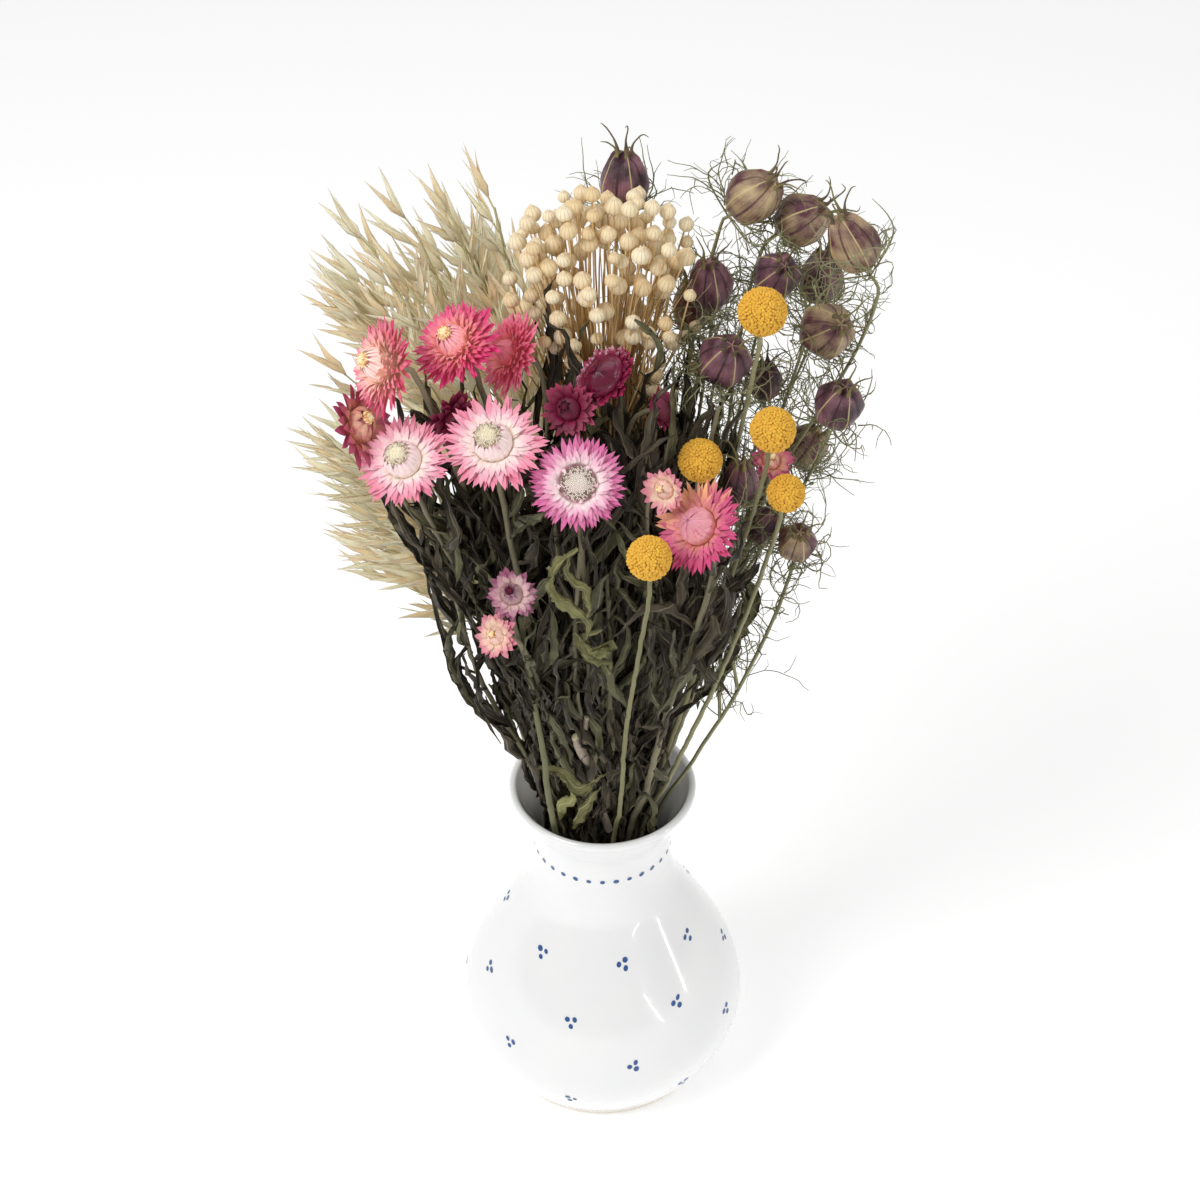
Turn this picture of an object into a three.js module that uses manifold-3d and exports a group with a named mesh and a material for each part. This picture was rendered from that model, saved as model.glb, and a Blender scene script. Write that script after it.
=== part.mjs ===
// A dried flower bouquet standing in a glazed vase: strawflowers on leafy stems,
// love-in-a-mist pods, billy buttons, a bunch of flax and a bunch of oats.
// Millimetres, +Z up. The origin is the middle of the vase's flat foot, and the bouquet's front is at -Y.

import * as THREE from "three";
import { mergeVertices } from "three/addons/utils/BufferGeometryUtils.js";
import Module from "manifold-3d";

const wasm = await Module();
wasm.setup();

// Driving dimensions
const GAP = 0.3; // between any two pieces that touch
const VASE_WALL = 4;
const VASE_FLOOR = 7;
const VASE_SIDES = 26;
const RIM_Z = 180;
const NECK_Z = 146;
const NECK_ROOM = 26; // radius that the stems keep inside the neck
const MOUTH_ROOM = 28; // radius that leaves keep inside the neck and mouth
const MOUTH_TOP_Z = RIM_Z + 20;
const FAN_APEX_Z = 78; // the stems fan out as lines from this height on the vase's axis
const STEM_FOOT_Z = VASE_FLOOR + GAP;
const FOOT_SPREAD = 0.9; // a stem's foot stands this share as far out as the stem is in the neck
const STEM_BEND = 7;
const SOCKET_DEPTH = 2; // how far a stem's end goes up into its flower head
const TWIG_Z = 212;
const RIM_SPOKES = 9; // rods that stand for a strawflower's spread bracts
const BRACT_THICKNESS = 1;
const BRACT_CUT = 0.7; // how far in the gaps between bracts reach, as a share of the row's reach
const POD_SEAM = 0.84;
const LEAF_STEPS = 3;
const LEAF_THICKNESS = 1.1;
const LEAF_TWIST = 1; // radians from the root to the tip, at most half of this either way
const LEAF_LOWEST_Z = 158;
const THREADS_PER_POD = 3;
const THREAD_RADIUS = 0.45;
const GOLDEN_ANGLE = Math.PI * (3 - Math.sqrt(5));
const SPIKELET_LENGTH = 25;
const SPIKELET_WIDTH = 4.2;
const SPIKELET_STALK = 9;
const SPIKELETS_PER_STRAW = 7;
const PANICLE_SPANS = 2.2; // how many of a straw's last spans carry spikelets
const STRAW_RADIUS = 1.2;
const STRAW_TIP = 0.9;
const STRAW_TWIG = 0.45;

const UP = new THREE.Vector3(0, 0, 1);
const vec = (x, y, z) => new THREE.Vector3(x, y, z);

// The flax bunch. wide and deep are its spread per unit of height over the fan's apex.
const FLAX = {
  fan: new THREE.Vector2(0.005, 0.052),
  wide: 0.066,
  deep: 0.045,
  flutes: 9,
  waistZ: 320,
  bundleTop: 395,
  pods: 52,
  podAcross: 8,
  stalk: 0.55,
  dome: vec(1, 22, 486),
  domeWide: 37,
  domeDeep: 24,
};

// A repeatable number from 0 to 1 for any two whole numbers.
function draw(a, b) {
  const s = Math.sin(a * 127.1 + b * 311.7) * 43758.5453;
  return s - Math.floor(s);
}

// The direction of an azimuth from +X and an elevation above the horizon, in degrees.
function direction(azimuth, elevation) {
  const a = THREE.MathUtils.degToRad(azimuth);
  const e = THREE.MathUtils.degToRad(elevation);
  return vec(Math.cos(a) * Math.cos(e), Math.sin(a) * Math.cos(e), Math.sin(e));
}

function meshOf(positions, faces) {
  const geometry = new THREE.BufferGeometry();
  geometry.setAttribute("position", new THREE.Float32BufferAttribute(positions, 3));
  geometry.setIndex(faces);
  return geometry;
}

// Joining and cutting closed meshes
function solidOf(geometry) {
  const bare = new THREE.BufferGeometry().setAttribute(
    "position",
    (geometry.index ? geometry.toNonIndexed() : geometry).getAttribute("position"),
  );
  const merged = mergeVertices(bare, 1e-4);
  const mesh = new wasm.Mesh({
    numProp: 3,
    vertProperties: merged.attributes.position.array,
    triVerts: new Uint32Array(merged.index.array),
  });
  return new wasm.Manifold(mesh);
}

// The largest body of a solid: the scraps that a cut leaves loose are dropped.
function mainBody(solid) {
  return solid.decompose().reduce((a, b) => (a.volume() > b.volume() ? a : b));
}

function geometryOf(solid) {
  const mesh = solid.getMesh();
  const geometry = new THREE.BufferGeometry();
  geometry.setAttribute("position", new THREE.BufferAttribute(mesh.vertProperties, 3));
  geometry.setIndex(new THREE.BufferAttribute(mesh.triVerts, 1));
  return geometry;
}

const fuse = (geometries) => wasm.Manifold.union(geometries.map(solidOf));

// A closed solid swept along points. section(t) gives the outline round the path at t from 0 to 1
// as [side, out] pairs, or one pair where the solid comes to a point. "out" starts along facing.
function sweep(points, facing, section) {
  const positions = [];
  const faces = [];
  const last = points.length - 1;
  const out = facing.clone();
  let previous = null;
  points.forEach((point, i) => {
    const along = points[Math.min(i + 1, last)].clone().sub(points[Math.max(i - 1, 0)]).normalize();
    out.addScaledVector(along, -out.dot(along)).normalize();
    const side = out.clone().cross(along);
    const first = positions.length / 3;
    const outline = section(i / last);
    for (const [a, b] of outline) {
      const p = point.clone().addScaledVector(side, a).addScaledVector(out, b);
      positions.push(p.x, p.y, p.z);
    }
    const ring = outline.map((_, k) => first + k);
    const n = Math.max(ring.length, previous ? previous.length : 0);
    for (let k = 0; previous && k < n; k++) {
      const next = (k + 1) % n;
      if (previous.length > 1) {
        faces.push(previous[k], previous[next], ring.length > 1 ? ring[next] : ring[0]);
      }
      if (ring.length > 1) {
        faces.push(previous.length > 1 ? previous[k] : previous[0], ring[next], ring[k]);
      }
    }
    for (let k = 2; (i === 0 || i === last) && k < ring.length; k++) {
      faces.push(...(i === 0 ? [ring[0], ring[k], ring[k - 1]] : [ring[0], ring[k - 1], ring[k]]));
    }
    previous = ring;
  });
  return meshOf(positions, faces);
}

// A closed solid from rings of points, from its lowest pole round to its highest. The next ring has as
// many points, twice or half as many, or one, and even points of a doubled ring face the other's points.
function skin(rings) {
  const positions = rings.flatMap((ring) => ring.flatMap((p) => [p.x, p.y, p.z]));
  const faces = [];
  let first = 0;
  for (let i = 0; i + 1 < rings.length; i++) {
    const [n, m] = [rings[i].length, rings[i + 1].length];
    const next = first + n;
    const a = (k) => first + ((k + n) % n);
    const b = (k) => next + ((k + m) % m);
    const low = Math.min(n, m) === 1 ? Math.max(n, m) : Math.min(n, m);
    for (let k = 0; k < low; k++) {
      if (n === 1) faces.push(first, b(k + 1), b(k));
      else if (m === 1) faces.push(a(k), a(k + 1), next);
      else if (n === m) faces.push(a(k), a(k + 1), b(k), a(k + 1), b(k + 1), b(k));
      else if (m > n) {
        faces.push(a(k), b(2 * k), b(2 * k - 1), a(k), b(2 * k + 1), b(2 * k), a(k), a(k + 1), b(2 * k + 1));
      } else {
        faces.push(a(2 * k - 1), a(2 * k), b(k), a(2 * k), a(2 * k + 1), b(k), a(2 * k + 1), b(k + 1), b(k));
      }
    }
    first = next;
  }
  return meshOf(positions, faces);
}

// A point from its distance to the Z axis, its angle and its height.
const polar = (r, angle, z) => vec(r * Math.cos(angle), r * Math.sin(angle), z);

const ringOf = (count, point) => Array.from({ length: count }, (_, k) => point(k, (2 * Math.PI * k) / count));

// A round section of a few sides. Its radius may change along the path.
const round = (sides, radius) => (t) => {
  const r = typeof radius === "function" ? radius(t) : radius;
  if (r <= 0) return [[0, 0]];
  return Array.from({ length: sides }, (_, k) => {
    const a = (2 * Math.PI * k) / sides;
    return [r * Math.cos(a), r * Math.sin(a)];
  });
};

// A thin stalk along points, from one radius to another.
const stalk = (points, radius, endRadius = radius, sides = 4) =>
  sweep(points, sideways(points), round(sides, (t) => radius + (endRadius - radius) * t));

// A direction across a path, to start a section from.
function sideways(points) {
  const along = points[1].clone().sub(points[0]).normalize();
  return Math.abs(along.x) < 0.7 ? vec(1, 0, 0) : vec(0, 1, 0);
}

const smooth = (corners, steps) =>
  new THREE.CatmullRomCurve3(corners, false, "centripetal").getPoints(steps);

// The vase: thrown, with a flat foot, a full belly, a narrow neck and a flared lip
const VASE_OUTLINE = [
  [50, 0], [51.5, 3], [58, 12], [65.5, 25], [69, 38], [68.8, 50], [64.8, 65], [58, 80],
  [49.8, 95], [42.3, 108], [36.3, 120], [33.3, 133], [33.3, NECK_Z], [36, 161], [40.5, 171], [44.6, 177.5],
];
const LIP_RADIUS = 43.8; // where the lip's rounded top is highest

function vase() {
  const outside = VASE_OUTLINE.map(([r, z]) => new THREE.Vector2(r, z));
  const inside = VASE_OUTLINE.filter(([, z], i) => z > VASE_FLOOR && i % 2 === 1)
    .map(([r, z]) => new THREE.Vector2(r - VASE_WALL, z))
    .reverse();
  const profile = [
    new THREE.Vector2(0, 0),
    ...outside,
    new THREE.Vector2(LIP_RADIUS, RIM_Z),
    new THREE.Vector2(LIP_RADIUS - 2, RIM_Z - 1.5),
    ...inside,
    new THREE.Vector2(52, VASE_FLOOR),
    new THREE.Vector2(0, VASE_FLOOR),
  ];
  const geometry = new THREE.LatheGeometry(profile, VASE_SIDES);
  geometry.rotateX(Math.PI / 2);
  return mainBody(solidOf(geometry));
}

// Flower heads: the point where each sits on its stem, and the way it looks
const HEADS = [];

function addHead(kind, name, at, azimuth, elevation, more) {
  const head = { kind, name, at: vec(...at), facing: direction(azimuth, elevation), ...more };
  HEADS.push(head);
  return head;
}

// Strawflowers: across is the spread of the outer bracts, open is 1 for a flat flower and 0 for a bud
const strawflower = (n, at, azimuth, elevation, across, open, colour) =>
  addHead("strawflower", `strawflower_${n}`, at, azimuth, elevation, { across, open, colour });

const CORAL = "#dd5f78";
const PALE_PINK = "#f0b4c4";
const BRIGHT_PINK = "#e987b4";
const BURGUNDY = "#6d1436";
const DUSTY_ROSE = "#b3656b";

const STRAWFLOWERS = {
  coralLeft: strawflower(1, [-84, -34, 444], -152, 24, 42, 0.62, CORAL),
  coralMiddle: strawflower(2, [-57, -19, 442], -138, 52, 40, 0.62, CORAL),
  coralRight: strawflower(3, [-34, -4, 428], -160, 32, 38, 0.7, CORAL),
  dustyEdge: strawflower(4, [-103, -42, 419], 165, 30, 31, 0.6, DUSTY_ROSE),
  paleLeft: strawflower(5, [-80, -56, 411], -118, 58, 40, 0.8, PALE_PINK),
  paleMiddle: strawflower(6, [-44, -56, 420], -98, 60, 43, 0.85, PALE_PINK),
  brightFront: strawflower(7, [-10, -66, 409], -90, 40, 39, 1, BRIGHT_PINK),
  glossyBud: strawflower(8, [3, -22, 428], -128, 50, 31, 0.3, BURGUNDY),
  darkSmall: strawflower(9, [-13, -33, 422], -104, 36, 25, 0.7, BURGUNDY),
  darkBud: strawflower(10, [21, -25, 416], -20, 24, 19, 0.2, BURGUNDY),
  pinkRight: strawflower(11, [42, -70, 388], -140, 44, 41, 0.65, CORAL),
  paleSmall: strawflower(12, [-38, -68, 351], -84, 50, 23, 0.75, PALE_PINK),
  tinyLow: strawflower(13, [-44, -63, 325], -150, 16, 17, 0.8, PALE_PINK),
  pinkBud: strawflower(14, [27, -60, 402], -35, 25, 12, 0.1, DUSTY_ROSE),
  dustyBud: strawflower(15, [71, -10, 377], -90, 62, 15, 0.25, DUSTY_ROSE),
  darkBehind: strawflower(16, [-62, -26, 414], -70, 5, 27, 0.6, BURGUNDY),
};

// A strawflower is one surface: rows of pointed bracts, each row staggered with the one outside it, round a
// heart of florets that is low in an open flower and a tall egg of closed bracts in a bud.
function strawflowerSolid({ across, open }) {
  const radius = across / 2;
  const bracts = 5 + Math.round(across / 5);
  const full = across > 35 && open < 0.75;
  const heart = radius * (full ? 0.3 : 0.4);
  const rows = [
    { reach: radius, rise: radius * (0.5 - 0.42 * open), groove: full ? 0.6 : 0.52 },
    { reach: radius * (full ? 0.82 : 0.72), rise: radius * (0.8 - 0.55 * open), groove: 0.42 },
  ];
  if (full) rows.push({ reach: radius * 0.6, rise: radius * (1.1 - 0.7 * open), groove: 0.34 });
  const rings = [[vec(0, 0, -0.6)], ringOf(bracts, (_, a) => polar(heart * 0.7, a, 0.4))];
  let [innerR, innerZ] = [heart * 0.7, 0.4];
  rows.forEach(({ reach, rise, groove }, i) => {
    const tipZ = 0.4 + rise;
    const slope = (tipZ - innerZ) / (reach - innerR);
    const cut = Math.max(reach * BRACT_CUT, innerR * 1.06);
    rings.push(ringOf(2 * bracts, (k, a) => {
      const r = (k + i) % 2 ? cut : reach * (0.9 + 0.1 * draw(k, bracts + i));
      return polar(r, a, innerZ + slope * (r - innerR) + BRACT_THICKNESS / 2);
    }));
    innerZ += Math.max(0, slope * (radius * groove - innerR)) + BRACT_THICKNESS * 1.4;
    innerR = radius * groove;
    rings.push(ringOf(bracts, (_, a) => polar(innerR, a, innerZ)));
  });
  const top = Math.max(innerZ + 1.5, across * (0.46 - 0.28 * open));
  rings.push(ringOf(bracts, (_, a) => polar(heart * 0.85, a, 0.3 * innerZ + 0.7 * top)));
  rings.push([vec(0, 0, top)]);
  return solidOf(skin(rings));
}

// Love-in-a-mist pods: five swollen seed chambers that meet in seams and draw out into a horn each
const pod = (n, at, azimuth, elevation, wide, tall) =>
  addHead("pod", `nigella_pod_${n}`, at, azimuth, elevation, { wide, tall, colour: "#5d3350" });

const PODS = {
  backTop: pod(1, [9, 62, 457], 90, 84, 22, 30),
  tanTop: pod(2, [56, 52, 464], -20, 48, 24, 27),
  dented: pod(3, [76, 54, 452], -10, 38, 24, 25),
  tanRight: pod(4, [110, 15, 460], 172, 62, 22, 29),
  darkUpright: pod(5, [46, 31, 430], -100, 78, 20, 28),
  starTop: pod(6, [72, 40, 436], -70, 50, 21, 23),
  darkBack: pod(7, [93, 52, 417], 60, 74, 20, 25),
  starRight: pod(8, [90, 19, 423], -56, 42, 25, 25),
  crinkled: pod(9, [49, 8, 411], -64, 62, 24, 26),
  narrow: pod(10, [70, 21, 389], -90, 80, 15, 22),
  rightUpright: pod(11, [98, 2, 391], -60, 68, 22, 26),
  inMist: pod(12, [85, 25, 351], -10, 62, 20, 22),
  lowRight: pod(13, [83, -22, 338], -80, 64, 18, 20),
  bottle: pod(14, [58, -24, 367], -80, 80, 16, 25),
  leaning: pod(15, [65, -14, 338], -8, 58, 15, 22),
  brownBack: pod(16, [38, 41, 410], 90, 80, 17, 25),
};

function podSolid({ wide, tall }, seed) {
  const radius = wide / 2;
  const rings = [[0.5, 0.08], [1, 0.42], [0.88, 0.74], [0.45, 0.92]].map(([r, z]) =>
    ringOf(10, (k, a) => polar(radius * r * (k % 2 ? POD_SEAM : 1), a, z * tall)));
  const crown = ringOf(10, (k, a) => {
    if (k % 2) return polar(radius * 0.26, a, 0.93 * tall);
    const horn = 5 + 6 * draw(seed, k);
    const reach = radius * 0.4 + horn * (0.2 + 0.5 * draw(seed + 1, k));
    return polar(reach, a + 0.4 * (draw(seed + 2, k) - 0.5), 0.95 * tall + horn);
  });
  return solidOf(skin([[vec(0, 0, 0)], ...rings, crown, [vec(0, 0, 0.88 * tall)]]));
}

// Billy buttons: a ball packed with florets, each a small point
const button = (n, at, azimuth, elevation, across) =>
  addHead("button", `billy_button_${n}`, at, azimuth, elevation, { across, colour: "#e0a728" });

const BUTTONS = [
  button(1, [65, -12, 449], -80, 72, 20),
  button(2, [69, -42, 412], -75, 70, 18.5),
  button(3, [40, -37, 393], -80, 68, 18),
  button(4, [75, -48, 385], -70, 68, 15.5),
  button(5, [19, -88, 381], -92, 76, 18),
];

function buttonSolid({ across }) {
  const radius = across / 2;
  const ball = new THREE.DodecahedronGeometry(radius * 0.94).getAttribute("position");
  const positions = [];
  for (let i = 0; i < ball.count; i += 3) {
    const corners = [0, 1, 2].map((k) => new THREE.Vector3().fromBufferAttribute(ball, i + k));
    const tip = vec(0, 0, 0);
    corners.forEach((c) => tip.add(c));
    tip.setLength(radius);
    for (let k = 0; k < 3; k++) {
      positions.push(...corners[k], ...corners[(k + 1) % 3], ...tip);
    }
  }
  const geometry = new THREE.BufferGeometry();
  geometry.setAttribute("position", new THREE.Float32BufferAttribute(positions, 3));
  return solidOf(geometry.translate(0, 0, radius));
}

// Stems
const onFan = (fan, z) => vec(fan.x * (z - FAN_APEX_Z), fan.y * (z - FAN_APEX_Z), z);

// Where on the fan a point lies, as its slope from the fan's apex.
const fanOf = (p) => new THREE.Vector2(p.x, p.y).divideScalar(p.z - FAN_APEX_Z);

// The lower end of a stem: from the vase's floor up through the neck, where it keeps inside the room.
function stemFoot(fan) {
  const neck = onFan(fan, NECK_Z);
  const keep = Math.min(1, NECK_ROOM / Math.hypot(neck.x, neck.y));
  neck.x *= keep;
  neck.y *= keep;
  return [vec(neck.x * FOOT_SPREAD, neck.y * FOOT_SPREAD, STEM_FOOT_Z), neck];
}

// How thick a stem is where it enters its head.
function stemRadius(head) {
  return head.kind === "strawflower" ? 0.9 + head.across / 60 : 1;
}

// The last stretch under a head: the stem bends to look the same way and ends straight in its socket.
function approach({ at, facing }) {
  return [
    at.clone().addScaledVector(facing, -12).add(vec(0, 0, -8)),
    at.clone().addScaledVector(facing, -4),
    at.clone().addScaledVector(facing, SOCKET_DEPTH),
  ];
}

// A stem of its own: up the fan to its head, with a slight bend on the way.
function leaderPath(head) {
  const end = approach(head);
  const fan = fanOf(end[0]);
  const half = (MOUTH_TOP_Z + end[0].z) / 2;
  const bend = vec(draw(head.at.x, 1) - 0.5, draw(head.at.x, 2) - 0.5, 0).multiplyScalar(STEM_BEND);
  const rise = [onFan(fan, MOUTH_TOP_Z), onFan(fan, half).add(bend), ...end.slice(0, 2)];
  return [...stemFoot(fan), ...smooth(rise, 4), end[2]];
}

// A side stem: it leaves the leader's line at a height and goes over to its own head.
function sidePath(leader, head, fork) {
  const end = approach(head);
  const fan = fanOf(approach(leader)[0]);
  const half = (fork + end[0].z) / 2;
  const middle = onFan(fan, half).lerp(onFan(fanOf(end[0]), half), 0.7);
  return [...smooth([pointAt(leaderPath(leader), fork), middle, ...end.slice(0, 2)], 4), end[2]];
}

// The point of a rising path at a height.
function pointAt(path, z) {
  const i = Math.max(1, path.findIndex((p) => p.z >= z));
  const [a, b] = [path[i - 1], path[i]];
  return a.clone().lerp(b, (z - a.z) / (b.z - a.z));
}

// Cuts the socket that a stem's end stands in.
function withSocket(solid, stemRadius) {
  const depth = SOCKET_DEPTH + GAP;
  const peg = new THREE.CylinderGeometry(stemRadius + GAP, stemRadius + GAP, depth + 6, 6);
  peg.rotateX(Math.PI / 2).translate(0, 0, depth - (depth + 6) / 2);
  return mainBody(solid.subtract(solidOf(peg)));
}

// What already stands in the bouquet, as rods with a radius. Leaves, threads and spikelets that are
// placed later keep clear of the rods of every other piece.
const rods = [];

function reserve(owner, points, radius) {
  for (let i = 1; i < points.length; i++) {
    rods.push({ owner, line: new THREE.Line3(points[i - 1], points[i]), radius });
  }
}

function isClear(owner, points, radius) {
  return points.slice(1).every((point, i) => {
    const line = new THREE.Line3(points[i], point);
    return rods.every((rod) =>
      rod.owner === owner ||
      Math.sqrt(rod.line.distanceSqToLine3(line)) > rod.radius + radius + 2 * GAP);
  });
}

// Whether points keep inside the vase's neck and mouth, or above its lip.
function isInsideMouth(points, radius) {
  return points.every(({ x, y, z }) => z > RIM_Z + 12 || Math.hypot(x, y) + radius < MOUTH_ROOM);
}

// Leaves: narrow keeled blades that curl outwards and twist as they dry
function leafPath(root, azimuth, length, seed) {
  const points = [root];
  const rise = 80 - 30 * draw(seed, 1);
  const curl = -90 * draw(seed, 2) ** 2;
  const sway = 120 * (draw(seed, 3) - 0.5);
  for (let i = 0; i < LEAF_STEPS; i++) {
    const t = i / (LEAF_STEPS - 1);
    const step = direction(azimuth + sway * t, rise + curl * t);
    points.push(points[i].clone().addScaledVector(step, length / LEAF_STEPS));
  }
  return points;
}

function leafBlade(points, width, twist) {
  return sweep(points, sideways(points), (t) => {
    if (t === 1) return [[0, 0]];
    const half = (width / 2) * Math.sin(Math.PI * (0.06 + 0.84 * t));
    const cos = Math.cos(twist * t);
    const sin = Math.sin(twist * t);
    const keeled = [[-half, 0], [half, 0], [0, LEAF_THICKNESS]];
    return keeled.map(([a, b]) => [a * cos - b * sin, a * sin + b * cos]);
  });
}

function growLeaves(owner, stems, wanted, seed) {
  const blades = [];
  for (let i = 0; blades.length < wanted && i < wanted * 12; i++) {
    const stem = stems[i % stems.length];
    const top = stem.at(-1).z - 26;
    const bottom = Math.max(stem[0].z, LEAF_LOWEST_Z);
    const root = pointAt(stem, bottom + (top - bottom) * draw(seed, 4 + 7 * i));
    const length = 36 + 34 * draw(seed, 5 + 7 * i);
    const width = 6 + 4 * draw(seed, 6 + 7 * i);
    const points = leafPath(root, 360 * draw(seed, 7 + 7 * i), length, seed + 7 * i);
    const free = isClear(owner, points.slice(0, 2), width / 2) && isClear("", points.slice(1), width / 3);
    if (!free || !isInsideMouth(points, width / 2)) continue;
    reserve(owner, points, width / 2);
    blades.push(leafBlade(points, width, LEAF_TWIST * (draw(seed, 8 + 7 * i) - 0.5)));
  }
  return blades;
}

// A leafy spray of strawflower stems: the first head's stem leads, and the others fork from it.
const FLOWER_SPRAYS = [
  { leader: "coralLeft", sides: [["dustyEdge", 290], ["paleLeft", 262]], leaves: 12 },
  { leader: "coralMiddle", sides: [["coralRight", 270], ["darkBehind", 310]], leaves: 12 },
  { leader: "paleMiddle", sides: [["paleSmall", 228], ["tinyLow", 240]], leaves: 12 },
  { leader: "brightFront", sides: [], leaves: 12 },
  { leader: "glossyBud", sides: [["darkSmall", 300], ["darkBud", 320]], leaves: 12 },
  { leader: "pinkRight", sides: [["pinkBud", 290]], leaves: 12 },
  { leader: "dustyBud", sides: [], leaves: 4 },
];

// The pods' sprays, and each pod's ring of thread-fine bracts
const POD_SPRAYS = [
  { leader: "tanTop", sides: [["brownBack", 290], ["backTop", 260]] },
  { leader: "starTop", sides: [["dented", 330], ["darkBack", 290], ["narrow", 300]] },
  { leader: "starRight", sides: [["rightUpright", 270], ["inMist", 250], ["tanRight", 320]] },
  { leader: "crinkled", sides: [["darkUpright", 300]] },
  { leader: "lowRight", sides: [["leaning", 230], ["bottle", 250]] },
];

// The way that a shape modelled along +Z is turned and moved to its head's place.
function placeOf({ at, facing }) {
  return new THREE.Matrix4().compose(at, new THREE.Quaternion().setFromUnitVectors(UP, facing), vec(1, 1, 1));
}

function bractThreads(owner, head, seed) {
  const { wide, tall } = head;
  const place = placeOf(head);
  const threads = [];
  for (let k = 0; threads.length < THREADS_PER_POD && k < THREADS_PER_POD * 3; k++) {
    const a = (2 * Math.PI * (k + 0.5 * draw(seed, k))) / THREADS_PER_POD;
    const flare = wide / 2 + 4 + 5 * draw(seed + 1, k);
    const points = [[0, -4], [flare, 0.15 * tall], [flare + 1, (0.7 + 0.5 * draw(seed + 2, k)) * tall]]
      .map(([r, z], i) => vec(r * Math.cos(a + 0.2 * i), r * Math.sin(a + 0.2 * i), z).applyMatrix4(place));
    if (!isClear(owner, points, THREAD_RADIUS)) continue;
    reserve(owner, points, THREAD_RADIUS);
    threads.push(stalk(points, THREAD_RADIUS, 0, 3));
  }
  return threads;
}

// The flax bunch: its stalks are packed in one fluted bundle low down and fan out to a dome of pods.
function flaxBundle(owner) {
  const { fan, wide, deep, flutes, bundleTop } = FLAX;
  const [foot] = stemFoot(fan);
  const heights = [NECK_Z, MOUTH_TOP_Z, FLAX.waistZ, bundleTop];
  const rise = [...heights, bundleTop + 4].map((z) => onFan(fan, z));
  const points = [foot, foot.clone().setZ(foot.z + 2), ...rise];
  heights.slice(1).forEach((z, i) => {
    reserve(owner, [onFan(fan, heights[i]), onFan(fan, z)], wide * (z - FAN_APEX_Z) * 0.85);
  });
  return sweep(points, vec(0, -1, 0), (t) => {
    if (t === 0 || t === 1) return [[0, 0]];
    const z = Math.max(points[Math.round(t * (points.length - 1))].z, NECK_Z);
    const spread = (z - FAN_APEX_Z) * (z < bundleTop ? 1 : 0.85);
    return ringOf(flutes * 2, (k, a) => {
      const p = polar(spread * (k % 2 ? 0.75 : 1), a, 0);
      return [p.x * wide, p.y * deep];
    });
  });
}

// A stalk that swells into its round pod.
function flaxPod(root, middle) {
  const half = FLAX.podAcross / 2;
  const up = middle.clone().sub(root).normalize();
  const points = [root, ...[-1, -0.45, 0.45, 1].map((s) => middle.clone().addScaledVector(up, s * half))];
  const swell = [FLAX.stalk, FLAX.stalk, half * 0.9, half * 0.9, 0];
  return sweep(points, sideways(points), (t) => round(4, swell[Math.round(t * 4)])(t));
}

function flaxPods(owner) {
  const parts = [];
  for (let k = 0; k < FLAX.pods; k++) {
    const share = Math.sqrt((k + 0.5) / FLAX.pods);
    const a = k * GOLDEN_ANGLE;
    const drop = 14 * share ** 2 + 40 * draw(k, 21) * share;
    const x = FLAX.dome.x + FLAX.domeWide * share * Math.cos(a);
    const y = FLAX.dome.y + FLAX.domeDeep * share * Math.sin(a);
    const pod = vec(x, y, FLAX.dome.z - drop - 12 * Math.max(0, -Math.sin(a)) * share);
    const fan = fanOf(pod);
    const inBundle = onFan(FLAX.fan.clone().lerp(fan, 0.38), FLAX.bundleTop - 8);
    const swell = FLAX.podAcross / 2;
    if (!isClear(owner, [inBundle, pod], swell) || !isClear("", [pod, pod], swell * 0.8)) continue;
    reserve(owner, [inBundle, pod], FLAX.stalk);
    reserve(owner, [pod, pod], swell);
    parts.push(flaxPod(inBundle, pod));
  }
  return parts;
}

// Oats: arching straws whose last stretch carries split spikelets on short stalks
const OAT_BUNCHES = [
  [[[-0.1, 0.125], [-46, 52, 466]], [[-0.135, 0.12], [-63, 47, 462]], [[-0.175, 0.11], [-80, 40, 464]]],
  [[[-0.21, 0.085], [-98, 34, 458]], [[-0.235, 0.06], [-104, 24, 436]], [[-0.165, 0.06], [-72, 22, 446]]],
  [[[-0.27, 0.035], [-106, 14, 402]], [[-0.29, 0.02], [-110, 8, 362]], [[-0.275, 0.01], [-90, 6, 326]]],
];

function strawPath([fan, tip], foot) {
  const slope = new THREE.Vector2(...fan);
  const end = vec(...tip);
  const high = MOUTH_TOP_Z + 0.72 * (end.z - MOUTH_TOP_Z);
  return [foot, stemFoot(slope)[1], ...smooth([onFan(slope, MOUTH_TOP_Z), onFan(slope, high), end], 4)];
}

// The straws of a bunch stand close together on the vase's floor.
function bunchPaths(straws) {
  const [foot] = stemFoot(new THREE.Vector2(...straws[1][0]));
  return straws.map((straw) => strawPath(straw, foot));
}

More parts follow.
